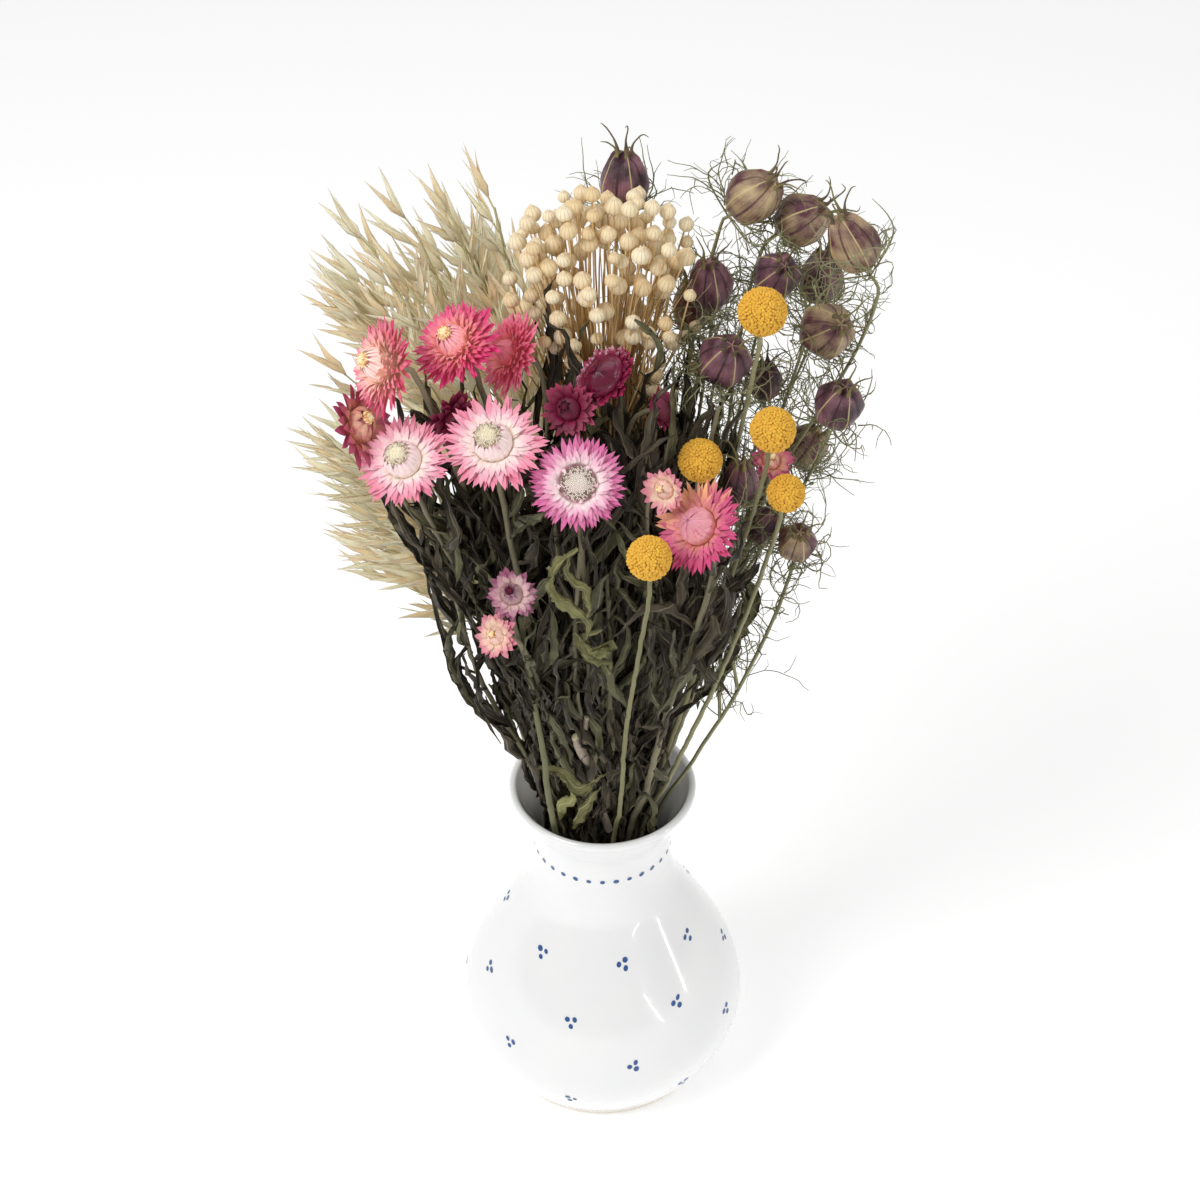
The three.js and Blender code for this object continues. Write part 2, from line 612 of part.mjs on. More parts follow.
// A spikelet on its stalk: it swells and then splits into two pointed glumes.
function spikelet(owner, root, facing, spread) {
  const depth = facing.clone().cross(spread).normalize();
  const at = (out, side, deep) =>
    root.clone().addScaledVector(facing, out).addScaledVector(spread, side).addScaledVector(depth, deep);
  const length = SPIKELET_STALK + SPIKELET_LENGTH;
  if (!isClear(owner, [root, at(length, 0, 0)], SPIKELET_WIDTH)) return [];
  reserve(owner, [root, at(length, 0, 0)], SPIKELET_WIDTH * 0.8);
  const widest = SPIKELET_STALK + 0.25 * SPIKELET_LENGTH;
  const square = (out, w, d) => [at(out, w, 0), at(out, 0, d), at(out, -w, 0), at(out, 0, -d)];
  const points = [
    ...square(0, STRAW_TWIG, STRAW_TWIG),
    ...square(widest, SPIKELET_WIDTH / 2, SPIKELET_WIDTH / 3),
    at(widest + 0.35 * SPIKELET_LENGTH, 0, 0),
    at(length, 0.2 * SPIKELET_LENGTH, 0),
    at(length, -0.2 * SPIKELET_LENGTH, 0),
  ];
  const faces = [0, 2, 1, 0, 3, 2];
  for (let k = 0; k < 4; k++) {
    const next = (k + 1) % 4;
    faces.push(k, next, 4 + next, k, 4 + next, 4 + k);
  }
  const [right, near, left, far, notch, rightTip, leftTip] = [4, 5, 6, 7, 8, 9, 10];
  faces.push(rightTip, right, near, rightTip, near, notch, rightTip, notch, far, rightTip, far, right);
  faces.push(leftTip, left, far, leftTip, far, notch, leftTip, notch, near, leftTip, near, left);
  return [meshOf(points.flatMap((p) => [p.x, p.y, p.z]), faces)];
}

function strawSpikelets(owner, path, seed) {
  const parts = [];
  const last = path.length - 1;
  for (let k = 0; k < SPIKELETS_PER_STRAW; k++) {
    const spot = last - (PANICLE_SPANS * (k + 0.13)) / SPIKELETS_PER_STRAW;
    const i = Math.min(Math.floor(spot), last - 1);
    const root = path[i].clone().lerp(path[i + 1], spot - i);
    const along = path[i + 1].clone().sub(path[i]).normalize();
    const turn = (k * GOLDEN_ANGLE) / 2 + 6 * draw(seed, k);
    const side = vec(Math.cos(turn), Math.sin(turn), 0.3 * Math.sin(turn * 2));
    const outward = vec(root.x, 0.3 * root.y, 0).normalize();
    const facing = along.multiplyScalar(0.9).addScaledVector(side, k ? 0.6 : 0);
    facing.addScaledVector(outward, 0.25).normalize();
    parts.push(...spikelet(owner, root, facing, side.cross(facing).normalize()));
  }
  return parts;
}

// Putting the bouquet together
const bouquet = new THREE.Group();

function add(name, solid, colour, roughness) {
  const material = new THREE.MeshStandardMaterial({ color: colour, roughness, metalness: 0 });
  const mesh = new THREE.Mesh(geometryOf(solid), material);
  mesh.name = name;
  bouquet.add(mesh);
  return mesh;
}

// A broken twig among the leaves in front, with two stubs.
function brokenTwig(stem) {
  const root = pointAt(stem, TWIG_Z);
  const knee = root.clone().add(vec(-5, -9, 20));
  return [
    stalk([root, knee, knee.clone().add(vec(-3, -3, 13))], 2.4, 1.9, 5),
    stalk([knee, knee.clone().add(vec(2, -2, 24))], 1.9, 1.1, 5),
  ];
}

// All stems' routes are settled and kept free before anything grows between them.
function layOut(prefix, sprays, heads) {
  return sprays.map(({ leader, sides, leaves }, i) => {
    const name = `${prefix}_${i + 1}`;
    const members = [leader, ...sides.map(([side]) => side)].map((key) => heads[key]);
    const forks = sides.map(([, fork]) => fork);
    const paths = members.map((head, k) => (k ? sidePath(members[0], head, forks[k - 1]) : leaderPath(head)));
    paths.forEach((path, k) => reserve(name, path, stemRadius(members[k])));
    return { name, members, paths, leaves };
  });
}

function reserveHead(head) {
  const place = placeOf(head);
  const local = (points) => points.map(([x, y, z]) => vec(x, y, z).applyMatrix4(place));
  if (head.kind === "pod") {
    const core = head.wide / 2;
    reserve(head.name, local([[0, 0, core], [0, 0, head.tall - core * 0.7]]), core);
    reserve(head.name, local([[0, 0, head.tall * 0.7], [0, 0, head.tall + 6]]), core * 0.75);
    return;
  }
  if (head.kind === "button") {
    reserve(head.name, local([[0, 0, head.across * 0.45], [0, 0, head.across * 0.55]]), head.across / 2);
    return;
  }
  const rim = head.across * 0.42;
  const rise = head.across * 0.5 * (0.7 - 0.6 * head.open);
  for (let k = 0; k < RIM_SPOKES; k++) {
    const a = (2 * Math.PI * k) / RIM_SPOKES;
    const spoke = local([[0, 0, 4], [rim * Math.cos(a), rim * Math.sin(a), rise + 2]]);
    reserve(head.name, spoke, head.across * 0.13);
  }
}

const MAKERS = { strawflower: strawflowerSolid, pod: podSolid, button: buttonSolid };

HEADS.forEach(reserveHead);
const flowerSprays = layOut("strawflower_stem", FLOWER_SPRAYS, STRAWFLOWERS);
const podSprays = layOut("nigella_stem", POD_SPRAYS, PODS);
const buttonStems = BUTTONS.map((head) => ({ head, path: leaderPath(head), name: `${head.name}_stem` }));
buttonStems.forEach(({ head, path, name }) => reserve(name, path, stemRadius(head)));
const oatStraws = OAT_BUNCHES.map(bunchPaths);
oatStraws.forEach((paths, i) => paths.forEach((path) => reserve(`oats_${i + 1}`, path, STRAW_RADIUS)));

add("vase", vase(), "#eeeeec", 0.18);
HEADS.forEach((head, i) => {
  const solid = withSocket(MAKERS[head.kind](head, i), stemRadius(head));
  add(head.name, solid, head.colour, 0.7).applyMatrix4(placeOf(head));
});

add("flax_bunch", fuse([flaxBundle("flax_bunch"), ...flaxPods("flax_bunch")]), "#e8d2a0", 0.75);

oatStraws.forEach((paths, i) => {
  const name = `oats_${i + 1}`;
  const parts = paths.map((path) => stalk(path, STRAW_RADIUS, STRAW_TIP, 3));
  paths.forEach((path, k) => parts.push(...strawSpikelets(name, path, 10 * i + k + 40)));
  add(name, fuse(parts), "#c9c49a", 0.75);
});

podSprays.forEach(({ name, members, paths }, i) => {
  const parts = paths.map((path, k) => stalk(path, k ? 1.1 : 1.4, stemRadius(members[k]), 3));
  members.forEach((head, k) => parts.push(...bractThreads(name, head, 60 + 10 * i + k)));
  add(name, fuse(parts), "#63634a", 0.85);
});

flowerSprays.forEach(({ name, members, paths, leaves }, i) => {
  const parts = paths.map((path, k) => stalk(path, k ? 1.4 : 2, stemRadius(members[k]), 4));
  parts.push(...growLeaves(name, paths, leaves, 90 + i));
  if (members[0] === STRAWFLOWERS.brightFront) parts.push(...brokenTwig(paths[0]));
  add(name, fuse(parts), "#3f3c2c", 0.9);
});

buttonStems.forEach(({ head, path, name }) => {
  add(name, solidOf(stalk(path, 1.2, stemRadius(head), 4)), "#99966f", 0.8);
});

export default bouquet;
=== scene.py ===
# A dried flower bouquet in a glazed vase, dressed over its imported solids.
# Shapes are worked out in millimetres and become metres when a piece is finished.
import math

import bpy
import numpy as np
from mathutils import Matrix, Vector


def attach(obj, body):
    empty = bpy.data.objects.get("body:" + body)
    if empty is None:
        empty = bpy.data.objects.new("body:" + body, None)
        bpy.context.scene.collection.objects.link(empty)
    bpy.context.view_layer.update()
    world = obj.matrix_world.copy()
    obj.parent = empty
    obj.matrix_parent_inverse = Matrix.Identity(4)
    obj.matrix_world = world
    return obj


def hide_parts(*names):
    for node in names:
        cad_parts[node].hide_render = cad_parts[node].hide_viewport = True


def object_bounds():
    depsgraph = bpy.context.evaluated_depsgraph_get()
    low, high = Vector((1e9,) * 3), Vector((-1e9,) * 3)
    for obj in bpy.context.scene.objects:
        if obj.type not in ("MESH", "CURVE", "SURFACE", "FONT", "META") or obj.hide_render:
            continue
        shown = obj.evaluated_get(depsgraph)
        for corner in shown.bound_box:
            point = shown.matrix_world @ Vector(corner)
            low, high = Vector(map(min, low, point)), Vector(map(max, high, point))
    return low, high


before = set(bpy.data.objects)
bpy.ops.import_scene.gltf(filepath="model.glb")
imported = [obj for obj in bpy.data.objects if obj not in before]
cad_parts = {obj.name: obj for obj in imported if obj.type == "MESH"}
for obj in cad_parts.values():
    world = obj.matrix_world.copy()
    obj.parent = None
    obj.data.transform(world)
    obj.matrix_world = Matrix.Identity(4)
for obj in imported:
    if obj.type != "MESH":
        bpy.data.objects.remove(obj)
cad_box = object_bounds()

# Camera, floor and light
# The photograph looks down on the bouquet from the front through a long lens. The bouquet stands on a white
# sweep. Soft boxes light it from high on the left, overhead and the right, and the glaze mirrors two strips.
MM = 0.001
EYE = Vector((0, -1031.3, 1157.3))
LOOK_DOWN = math.radians(40)
LENS = 90
AXIS_OFF_CENTRE = 2.5 / 1200
BOUQUET_MIDDLE = Vector((0, 0, 0.28))
VASE_MIDDLE = Vector((0, 0, 0.1))
FLOOR_HALF = 12
SWEEP_PAINT = {
    "Base Color": (0.86, 0.86, 0.86, 1),
    "Roughness": 0.9,
    "Emission Color": (1, 1, 1, 1),
    "Emission Strength": 0.36,
}
ROOM_LIGHT = 0.4

camera = bpy.data.objects.new("camera", bpy.data.cameras.new("camera"))
camera.location = EYE * MM
camera.rotation_euler = (math.pi / 2 - LOOK_DOWN, 0, 0)
camera.data.lens = LENS
camera.data.shift_x = -AXIS_OFF_CENTRE
bpy.context.collection.objects.link(camera)
bpy.context.scene.camera = camera
bpy.context.scene.view_settings.view_transform = "Standard"


def area_light(name, width, height, watts):
    """A rectangular light that still has to be put in its place."""
    light = bpy.data.objects.new(name, bpy.data.lights.new(name, "AREA"))
    light.data.shape = "RECTANGLE"
    light.data.size = width
    light.data.size_y = height
    light.data.energy = watts
    bpy.context.collection.objects.link(light)
    return light


def soft_box(name, place, width, height, watts):
    """A rectangular light that looks at the bouquet."""
    light = area_light(name, width, height, watts)
    light.location = place
    light.rotation_euler = (BOUQUET_MIDDLE - Vector(place)).to_track_quat("-Z", "Y").to_euler()


def strip_light(name, start, end, width, watts):
    """A narrow light from one point to another, which looks at the vase."""
    start, end = Vector(start), Vector(end)
    middle = start.lerp(end, 0.5)
    long_way = (end - start).normalized()
    back = (middle - VASE_MIDDLE).normalized()
    side = back.cross(long_way).normalized()
    back = long_way.cross(side)
    light = area_light(name, (end - start).length, width, watts)
    light.matrix_world = Matrix.Translation(middle) @ Matrix((long_way, side, back)).transposed().to_4x4()


floor_mesh = bpy.data.meshes.new("floor")
floor_corners = [(x * FLOOR_HALF, y * FLOOR_HALF, 0) for x, y in ((-1, -1), (1, -1), (1, 1), (-1, 1))]
floor_mesh.from_pydata(floor_corners, [], [(0, 1, 2, 3)])
white_sweep = bpy.data.materials.new("white_sweep")
white_sweep.use_nodes = True
for socket, value in SWEEP_PAINT.items():
    white_sweep.node_tree.nodes["Principled BSDF"].inputs[socket].default_value = value
floor_mesh.materials.append(white_sweep)
floor = bpy.data.objects.new("floor", floor_mesh)
bpy.context.collection.objects.link(floor)

soft_box("key_light", (-0.95, -0.75, 1.5), width=0.8, height=0.8, watts=15)
soft_box("top_light", (0.1, 0.3, 1.9), width=1.3, height=1.3, watts=7)
soft_box("right_light", (1.15, -0.75, 1.1), width=0.25, height=1.1, watts=2.5)
strip_light("window_edge", (1.37, -0.43, 0.01), (1.38, -0.43, 0.6), width=0.04, watts=1.2)
strip_light("window_bar", (0.84, -1.15, 0.27), (1.07, -0.98, 0.01), width=0.022, watts=0.4)
world = bpy.data.worlds.new("white_room")
world.use_nodes = True
world.node_tree.nodes["Background"].inputs["Color"].default_value = (1, 1, 1, 1)
world.node_tree.nodes["Background"].inputs["Strength"].default_value = ROOM_LIGHT
bpy.context.scene.world = world

# The vase
# Thrown earthenware with a flat foot, a full belly, a narrow neck and a flared lip. It is dipped in a white
# glaze that leaves the foot's edge bare, and its blue dots are dabbed on by hand with a brush.
VASE_OUTLINE = [
    (50, 0), (51.5, 3), (58, 12), (65.5, 25), (69, 38), (68.8, 50), (64.8, 65), (58, 80),
    (49.8, 95), (42.3, 108), (36.3, 120), (33.3, 133), (33.3, 146), (36, 161), (40.5, 171), (44.2, 177.5),
]
VASE_WALL = 4
VASE_FLOOR = 7
VASE_FLOOR_RADIUS = 48
VASE_FOOT = [(0, 0.4), (40, 0.4), (44, 0)]
LIP_RADIUS = 42.4
LIP_Z = 178
LIP_HALF_WIDE = 1.85
LIP_HALF_TALL = 2
LIP_ARC = np.linspace(0.1, 3.0, 9)
RIM_Z = 180
INSIDE_EASE = 5
BARE_FOOT = 2.2
VASE_SIDES = 96
VASE_STEPS = 48
SHORTEST_STEP = 1e-4


def smooth(corners, steps):
    """Points along a centripetal Catmull-Rom curve through the corners."""
    points = [Vector(c) for c in corners]
    points = [points[0] * 2 - points[1], *points, points[-1] * 2 - points[-2]]
    spans = len(corners) - 1
    curve = []
    for i in range(steps + 1):
        at = i / steps * spans
        k = min(int(at), spans - 1)
        t = at - k
        a, b, c, d = points[k:k + 4]
        ab, bc, cd = (math.sqrt((q - p).length) or SHORTEST_STEP for p, q in ((a, b), (b, c), (c, d)))
        start = ((b - a) / ab - (c - a) / (ab + bc)) * bc + (c - b)
        end = (c - b) + ((d - c) / cd - (d - b) / (bc + cd)) * bc
        curve.append(
            b * (2 * t**3 - 3 * t**2 + 1) + start * (t**3 - 2 * t**2 + t)
            + c * (3 * t**2 - 2 * t**3) + end * (t**3 - t**2)
        )
    return curve


vase_side = [(p.x, p.z) for p in smooth([(r, 0, z) for r, z in VASE_OUTLINE], VASE_STEPS)]


def vase_radius(z):
    """How far the outside of the vase is from its axis at a height."""
    return float(np.interp(z, [high for _, high in vase_side], [r for r, _ in vase_side]))


def finish_piece(name, mesh, place, nodes):
    """Makes a piece of a mesh in millimetres: it is put in its place, rides on the bouquet and stands for
    its CAD nodes."""
    mesh.name = name
    mesh.transform(Matrix.Scale(MM, 4) @ place)
    flat_faces = mesh.attributes.get("sharp_face")
    if flat_faces:
        mesh.attributes.remove(flat_faces)
    piece = bpy.data.objects.new(name, mesh)
    bpy.context.collection.objects.link(piece)
    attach(piece, "root")
    if nodes:
        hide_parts(*nodes)
    return piece


def spun(profile, sides):
    """A closed mesh turned round the Z axis. The profile starts and ends on the axis."""
    inner = profile[1:-1]
    turns = [(math.cos(2 * math.pi * k / sides), math.sin(2 * math.pi * k / sides)) for k in range(sides)]
    places = [(r * x, r * y, z) for r, z in inner for x, y in turns]
    faces = []
    for i in range(len(inner) - 1):
        for k in range(sides):
            low, high, after = i * sides, (i + 1) * sides, (k + 1) % sides
            faces.append((low + k, low + after, high + after, high + k))
    bottom, top, last = len(places), len(places) + 1, (len(inner) - 1) * sides
    places += [(0, 0, profile[0][1]), (0, 0, profile[-1][1])]
    for k in range(sides):
        faces.append((bottom, (k + 1) % sides, k))
        faces.append((top, last + k, last + (k + 1) % sides))
    mesh = bpy.data.meshes.new("spun")
    mesh.from_pydata(places, [], faces)
    return mesh


def vase_profile():
    """The vase's section, from the middle of its foot up the outside, over the lip and down to its floor."""
    lip = [(LIP_RADIUS + LIP_HALF_WIDE * math.cos(a), LIP_Z + LIP_HALF_TALL * math.sin(a)) for a in LIP_ARC]
    low, high = VASE_FLOOR + INSIDE_EASE, RIM_Z - INSIDE_EASE
    inside = [(r - VASE_WALL, z) for r, z in reversed(vase_side) if low < z < high]
    return [*VASE_FOOT, *vase_side, *lip, *inside, (VASE_FLOOR_RADIUS, VASE_FLOOR), (0, VASE_FLOOR)]


def add_node(tree, kind, settings=None, **inputs):
    """Adds a node. Inputs are named as its sockets are, with _ for a space."""
    node = tree.nodes.new(kind)
    for name, value in (settings or {}).items():
        setattr(node, name, value)
    for name, value in inputs.items():
        feed(tree, node.inputs[name.replace("_", " ")], value)
    return node


def feed(tree, socket, value):
    """Gives an input its value, or links it where the value comes from another node."""
    if isinstance(value, Field):
        tree.links.new(value.socket, socket)
    elif isinstance(value, bpy.types.Node):
        tree.links.new(value.outputs[0], socket)
    else:
        socket.default_value = value


class Field:
    """A number in a node tree, so that a shape's rule can be written as sums."""

    def __init__(self, tree, socket):
        self.tree = tree
        self.socket = socket

    def math(self, operation, *others):
        node = self.tree.nodes.new("ShaderNodeMath")
        node.operation = operation
        for socket, value in zip(node.inputs, (self, *others)):
            feed(self.tree, socket, value)
        return Field(self.tree, node.outputs[0])

    def __add__(self, other):
        return self.math("ADD", other)

    def __sub__(self, other):
        return self.math("SUBTRACT", other)

    def __mul__(self, other):
        return self.math("MULTIPLY", other)

    def __truediv__(self, other):
        return self.math("DIVIDE", other)

    def __pow__(self, other):
        return self.math("POWER", other)

    def __rsub__(self, other):
        return self.math("MULTIPLY_ADD", -1.0, other)

    __radd__ = __add__
    __rmul__ = __mul__

    def sin(self):
        return self.math("SINE")

    def cos(self):
        return self.math("COSINE")

    def limited(self):
        """The same number, kept from 0 to 1."""
        return self.math("MINIMUM", 1.0).math("MAXIMUM", 0.0)

    def step(self, edge):
        """1 where the number is over the edge, and 0 elsewhere."""
        return self.math("GREATER_THAN", edge)

    def to(self, other, share):
        """Between this number and another one, by a share from 0 to 1."""
        return self + (other - self) * share


def scaled(tree, vector, size):
    """A vector or a colour, made larger or smaller by a factor."""
    node = add_node(tree, "ShaderNodeVectorMath", {"operation": "SCALE"}, Scale=size)
    feed(tree, node.inputs[0], vector)
    return Field(tree, node.outputs[0])


def surface(name):
    """A new material's tree, with its shader and the point that is being shaded, in millimetres."""
    material = bpy.data.materials.new(name)
    material.use_nodes = True
    tree = material.node_tree
    where = Field(tree, add_node(tree, "ShaderNodeTexCoord").outputs["Object"])
    return material, tree, tree.nodes["Principled BSDF"], scaled(tree, where, 1 / MM)


def noise(tree, where, size, detail=3.0, distortion=0.0):
    """Cloudy variation from 0 to 1, about as coarse as size in millimetres."""
    cloud = add_node(
        tree, "ShaderNodeTexNoise", Vector=where, Scale=1 / size, Detail=detail, Distortion=distortion)
    return Field(tree, cloud.outputs[0])


def blend_colours(tree, share, one, other):
    """A colour between two, by a share that is a field. Each colour is a code or a field."""
    node = tree.nodes.new("ShaderNodeMix")
    node.data_type = "RGBA"
    feed(tree, node.inputs[0], share)
    for socket, value in zip(node.inputs[6:8], (one, other)):
        feed(tree, socket, colour(value) if isinstance(value, str) else value)
    return Field(tree, node.outputs[2])


def colour(code):
    """A colour from its sRGB code, as the shader wants it."""
    parts = [int(code[i:i + 2], 16) / 255 for i in (1, 3, 5)]
    return (*(c / 12.92 if c <= 0.04045 else ((c + 0.055) / 1.055) ** 2.4 for c in parts), 1.0)


def dress(tree, shader, skin, roughness, relief, depth):
    """Gives a shader its colour and roughness, and raises the surface by a relief from 0 to 1, to a depth in
    millimetres."""
    feed(tree, shader.inputs["Base Color"], skin)
    feed(tree, shader.inputs["Roughness"], roughness)
    raised = add_node(tree, "ShaderNodeBump", Strength=1.0, Distance=depth * MM, Height=relief)
    feed(tree, shader.inputs["Normal"], raised)


def glaze():
    """Glossy white with a faint cloud and turning rings, over clay that shows bare at the foot's edge."""
    material, tree, shader, where = surface("white_glaze")
    height = Field(tree, add_node(tree, "ShaderNodeSeparateXYZ", Vector=where).outputs[2])
    cloud = noise(tree, where, 30)
    white = blend_colours(tree, cloud, "#f8f8f6", "#f0f1f2")
    bare = (1.0 - (height / BARE_FOOT + noise(tree, where, 5) - 0.5)).limited()
    rings = (height * 1.1 + noise(tree, where, 25) * 4).sin()
    dress(
        tree, shader, blend_colours(tree, bare, white, "#d9c7a6"), bare * 0.6 + 0.12 + cloud * 0.06,
        rings * 0.15 + noise(tree, where, 9), depth=0.06)
    shader.inputs["Coat Weight"].default_value = 0.8
    shader.inputs["Coat Roughness"].default_value = 0.03
    return material


vase_mesh = spun(vase_profile(), VASE_SIDES)
vase_mesh.materials.append(glaze())
finish_piece("glazed_vase", vase_mesh, Matrix(), ["vase"])


def growth(name, *sizes):
    """Starts the rule that a piece grows by, with fields of what it is given: a mesh and named sizes."""
    tree = bpy.data.node_groups.new(name, "GeometryNodeTree")
    tree.interface.new_socket("Mesh", in_out="INPUT", socket_type="NodeSocketGeometry")
    for size in sizes:
        tree.interface.new_socket(size, in_out="INPUT", socket_type="NodeSocketFloat")
    tree.interface.new_socket("Mesh", in_out="OUTPUT", socket_type="NodeSocketGeometry")
    given = tree.nodes.new("NodeGroupInput")
    return tree, {s.name: Field(tree, s) for s in given.outputs if s.name}


def clad(tree, geometry, skin):
    """Gives a part of a piece its material."""
    return add_node(tree, "GeometryNodeSetMaterial", Geometry=geometry, Material=skin)


def clad_copies(tree, copies, skin):
    """Makes copies real and gives them their material."""
    return clad(tree, add_node(tree, "GeometryNodeRealizeInstances", Geometry=copies), skin)


def end_growth(tree, *geometries):
    """Joins what a rule has made and hands it out."""
    joined = tree.nodes.new("GeometryNodeJoinGeometry")
    for geometry in geometries:
        tree.links.new(geometry.outputs[0], joined.inputs[0])
    tree.links.new(joined.outputs[0], tree.nodes.new("NodeGroupOutput").inputs[0])


def grow(tree, mesh, **sizes):
    """Follows a rule from a starting mesh, and gives the plain mesh that comes out."""
    seedling = bpy.data.objects.new("seedling", mesh)
    bpy.context.collection.objects.link(seedling)
    modifier = seedling.modifiers.new("growth", "NODES")
    modifier.node_group = tree
    for socket in tree.interface.items_tree:
        if socket.name in sizes:
            modifier[socket.identifier] = float(sizes[socket.name])
    view = bpy.context.evaluated_depsgraph_get()
    grown = bpy.data.meshes.new_from_object(
        seedling.evaluated_get(view), preserve_all_data_layers=True, depsgraph=view)
    bpy.data.objects.remove(seedling)
    return grown


def named(tree, name, kind="FLOAT"):
    """Reads a named value of the points."""
    node = add_node(tree, "GeometryNodeInputNamedAttribute", {"data_type": kind}, Name=name)
    return Field(tree, node.outputs[0])


def index_of(tree):
    """The number of each point or copy, from 0."""
    return Field(tree, tree.nodes.new("GeometryNodeInputIndex").outputs[0])


def vector(tree, x, y, z):
    """A place or a size from three numbers or fields."""
    return Field(tree, add_node(tree, "ShaderNodeCombineXYZ", X=x, Y=y, Z=z).outputs[0])


def keep(tree, geometry, name, value, domain="POINT", kind="FLOAT"):
    """Keeps a named value with each point or copy."""
    return add_node(
        tree, "GeometryNodeStoreNamedAttribute", {"domain": domain, "data_type": kind}, Geometry=geometry,
        Name=name, Value=value)


def chance(tree, which, seed):
    """A random number from 0 to 1 for each different value of a field."""
    node = add_node(
        tree, "ShaderNodeTexWhiteNoise", {"noise_dimensions": "2D"}, Vector=vector(tree, which, seed, 0.0))
    return Field(tree, node.outputs[0])


def copies_on(tree, points, original, size=(1, 1, 1), turned=True):
    """A copy of a shape on each point. Where it is turned, its Z axis looks the way that the point faces."""
    copies = add_node(tree, "GeometryNodeInstanceOnPoints", Points=points, Instance=original, Scale=size)
    if turned:
        facing = named(tree, "facing", "FLOAT_VECTOR")
        turn = add_node(tree, "FunctionNodeAlignRotationToVector", {"axis": "Z"}, Vector=facing)
        feed(tree, copies.inputs["Rotation"], turn)
    return copies


def point_mesh(points, edges=(), **values):
    """A mesh of bare points and edges, each point with named values."""
    mesh = bpy.data.meshes.new("points")
    mesh.from_pydata([tuple(p) for p in points], edges, [])
    for name, numbers in values.items():
        flat = np.array(numbers, np.float32)
        kind = "FLOAT_VECTOR" if flat.ndim == 2 else "FLOAT"
        attribute = mesh.attributes.new(name, kind, "POINT")
        attribute.data.foreach_set("vector" if flat.ndim == 2 else "value", flat.ravel())
    return mesh


# Each group of three dots is at an angle round the vase and a height. The neck has a closed ring of dots.
DOT_RING_Z = 146
DOTS_IN_RING = 32
DOT_RADIUS = 1.3
DOT_PROUD = 0.12
DOT_SIDES = 14
GROUP_DOT_WIDTH = 1.1
GROUP_ROWS = [(101, -27.5), (77, -1.5), (54, -27.5), (28, -1.5)]
GROUPS_IN_ROW = 7
GROUP_SPREAD = 2.1
GROUP_TURN_PLAY = 4
GROUP_RISE_PLAY = 3
GROUP_TILT_PLAY = 1.2


def draw(a, b):
    """A repeatable number from 0 to 1 for any two numbers."""
    s = math.sin(a * 127.1 + b * 311.7) * 43758.5453
    return s - math.floor(s)


def swing(a, b):
    """A repeatable number from -0.5 to 0.5."""
    return draw(a, b) - 0.5


def on_vase(angle, z):
    """A point just proud of the glaze, and the way that the glaze faces there."""
    slope = (vase_radius(z + 1) - vase_radius(z - 1)) / 2
    facing = Vector((math.cos(angle), math.sin(angle), -slope)).normalized()
    r = vase_radius(z)
    return Vector((r * math.cos(angle), r * math.sin(angle), z)) + facing * DOT_PROUD, facing


def dot_places():
    """Each dot's angle round the vase, its height and its width."""
    spots = [(2 * math.pi * k / DOTS_IN_RING, DOT_RING_Z, 1.0) for k in range(DOTS_IN_RING)]
    for row, (z, start) in enumerate(GROUP_ROWS):
        for k in range(GROUPS_IN_ROW):
            turn = math.radians(start + GROUP_TURN_PLAY * swing(row, k + 30) + 360 * k / GROUPS_IN_ROW)
            middle = z + GROUP_RISE_PLAY * swing(row, k)
            tilt = GROUP_TILT_PLAY * swing(k, row + 9)
            for a in (tilt + math.radians(degrees) for degrees in (90, 210, 330)):
                aside = GROUP_SPREAD * math.cos(a) / vase_radius(middle)
                spots.append((turn + aside, middle - GROUP_SPREAD * math.sin(a), GROUP_DOT_WIDTH))
    return spots


def dot_tree(material):
    """Round dabs of paint, laid flat on the glaze and no two quite alike."""
    tree, given = growth("painted_dots", "Radius")
    dab = add_node(
        tree, "GeometryNodeMeshCircle", {"fill_type": "NGON"}, Vertices=DOT_SIDES, Radius=given["Radius"])
    index = index_of(tree)
    wide = named(tree, "width") * (0.85 + chance(tree, index, 1.0) * 0.35)
    tall = 0.75 + chance(tree, index, 2.0) * 0.35
    dabs = copies_on(tree, given["Mesh"], dab, vector(tree, tall, wide, 1.0))
    end_growth(tree, clad_copies(tree, dabs, material))
    return tree


def cobalt():
    """Cobalt blue, thinner in places, and as glossy as the glaze."""
    material, tree, shader, where = surface("cobalt_paint")
    skin = blend_colours(tree, noise(tree, where, 0.8), "#1f3f74", "#4a72ad")
    feed(tree, shader.inputs["Base Color"], skin)
    shader.inputs["Roughness"].default_value = 0.15
    return material


dot_spots = dot_places()
dot_points = [on_vase(angle, z) for angle, z, _ in dot_spots]
dots = point_mesh(
    [p for p, _ in dot_points], facing=[tuple(f) for _, f in dot_points], width=[w for *_, w in dot_spots])
finish_piece("painted_dots", grow(dot_tree(cobalt()), dots, Radius=DOT_RADIUS), Matrix(), [])

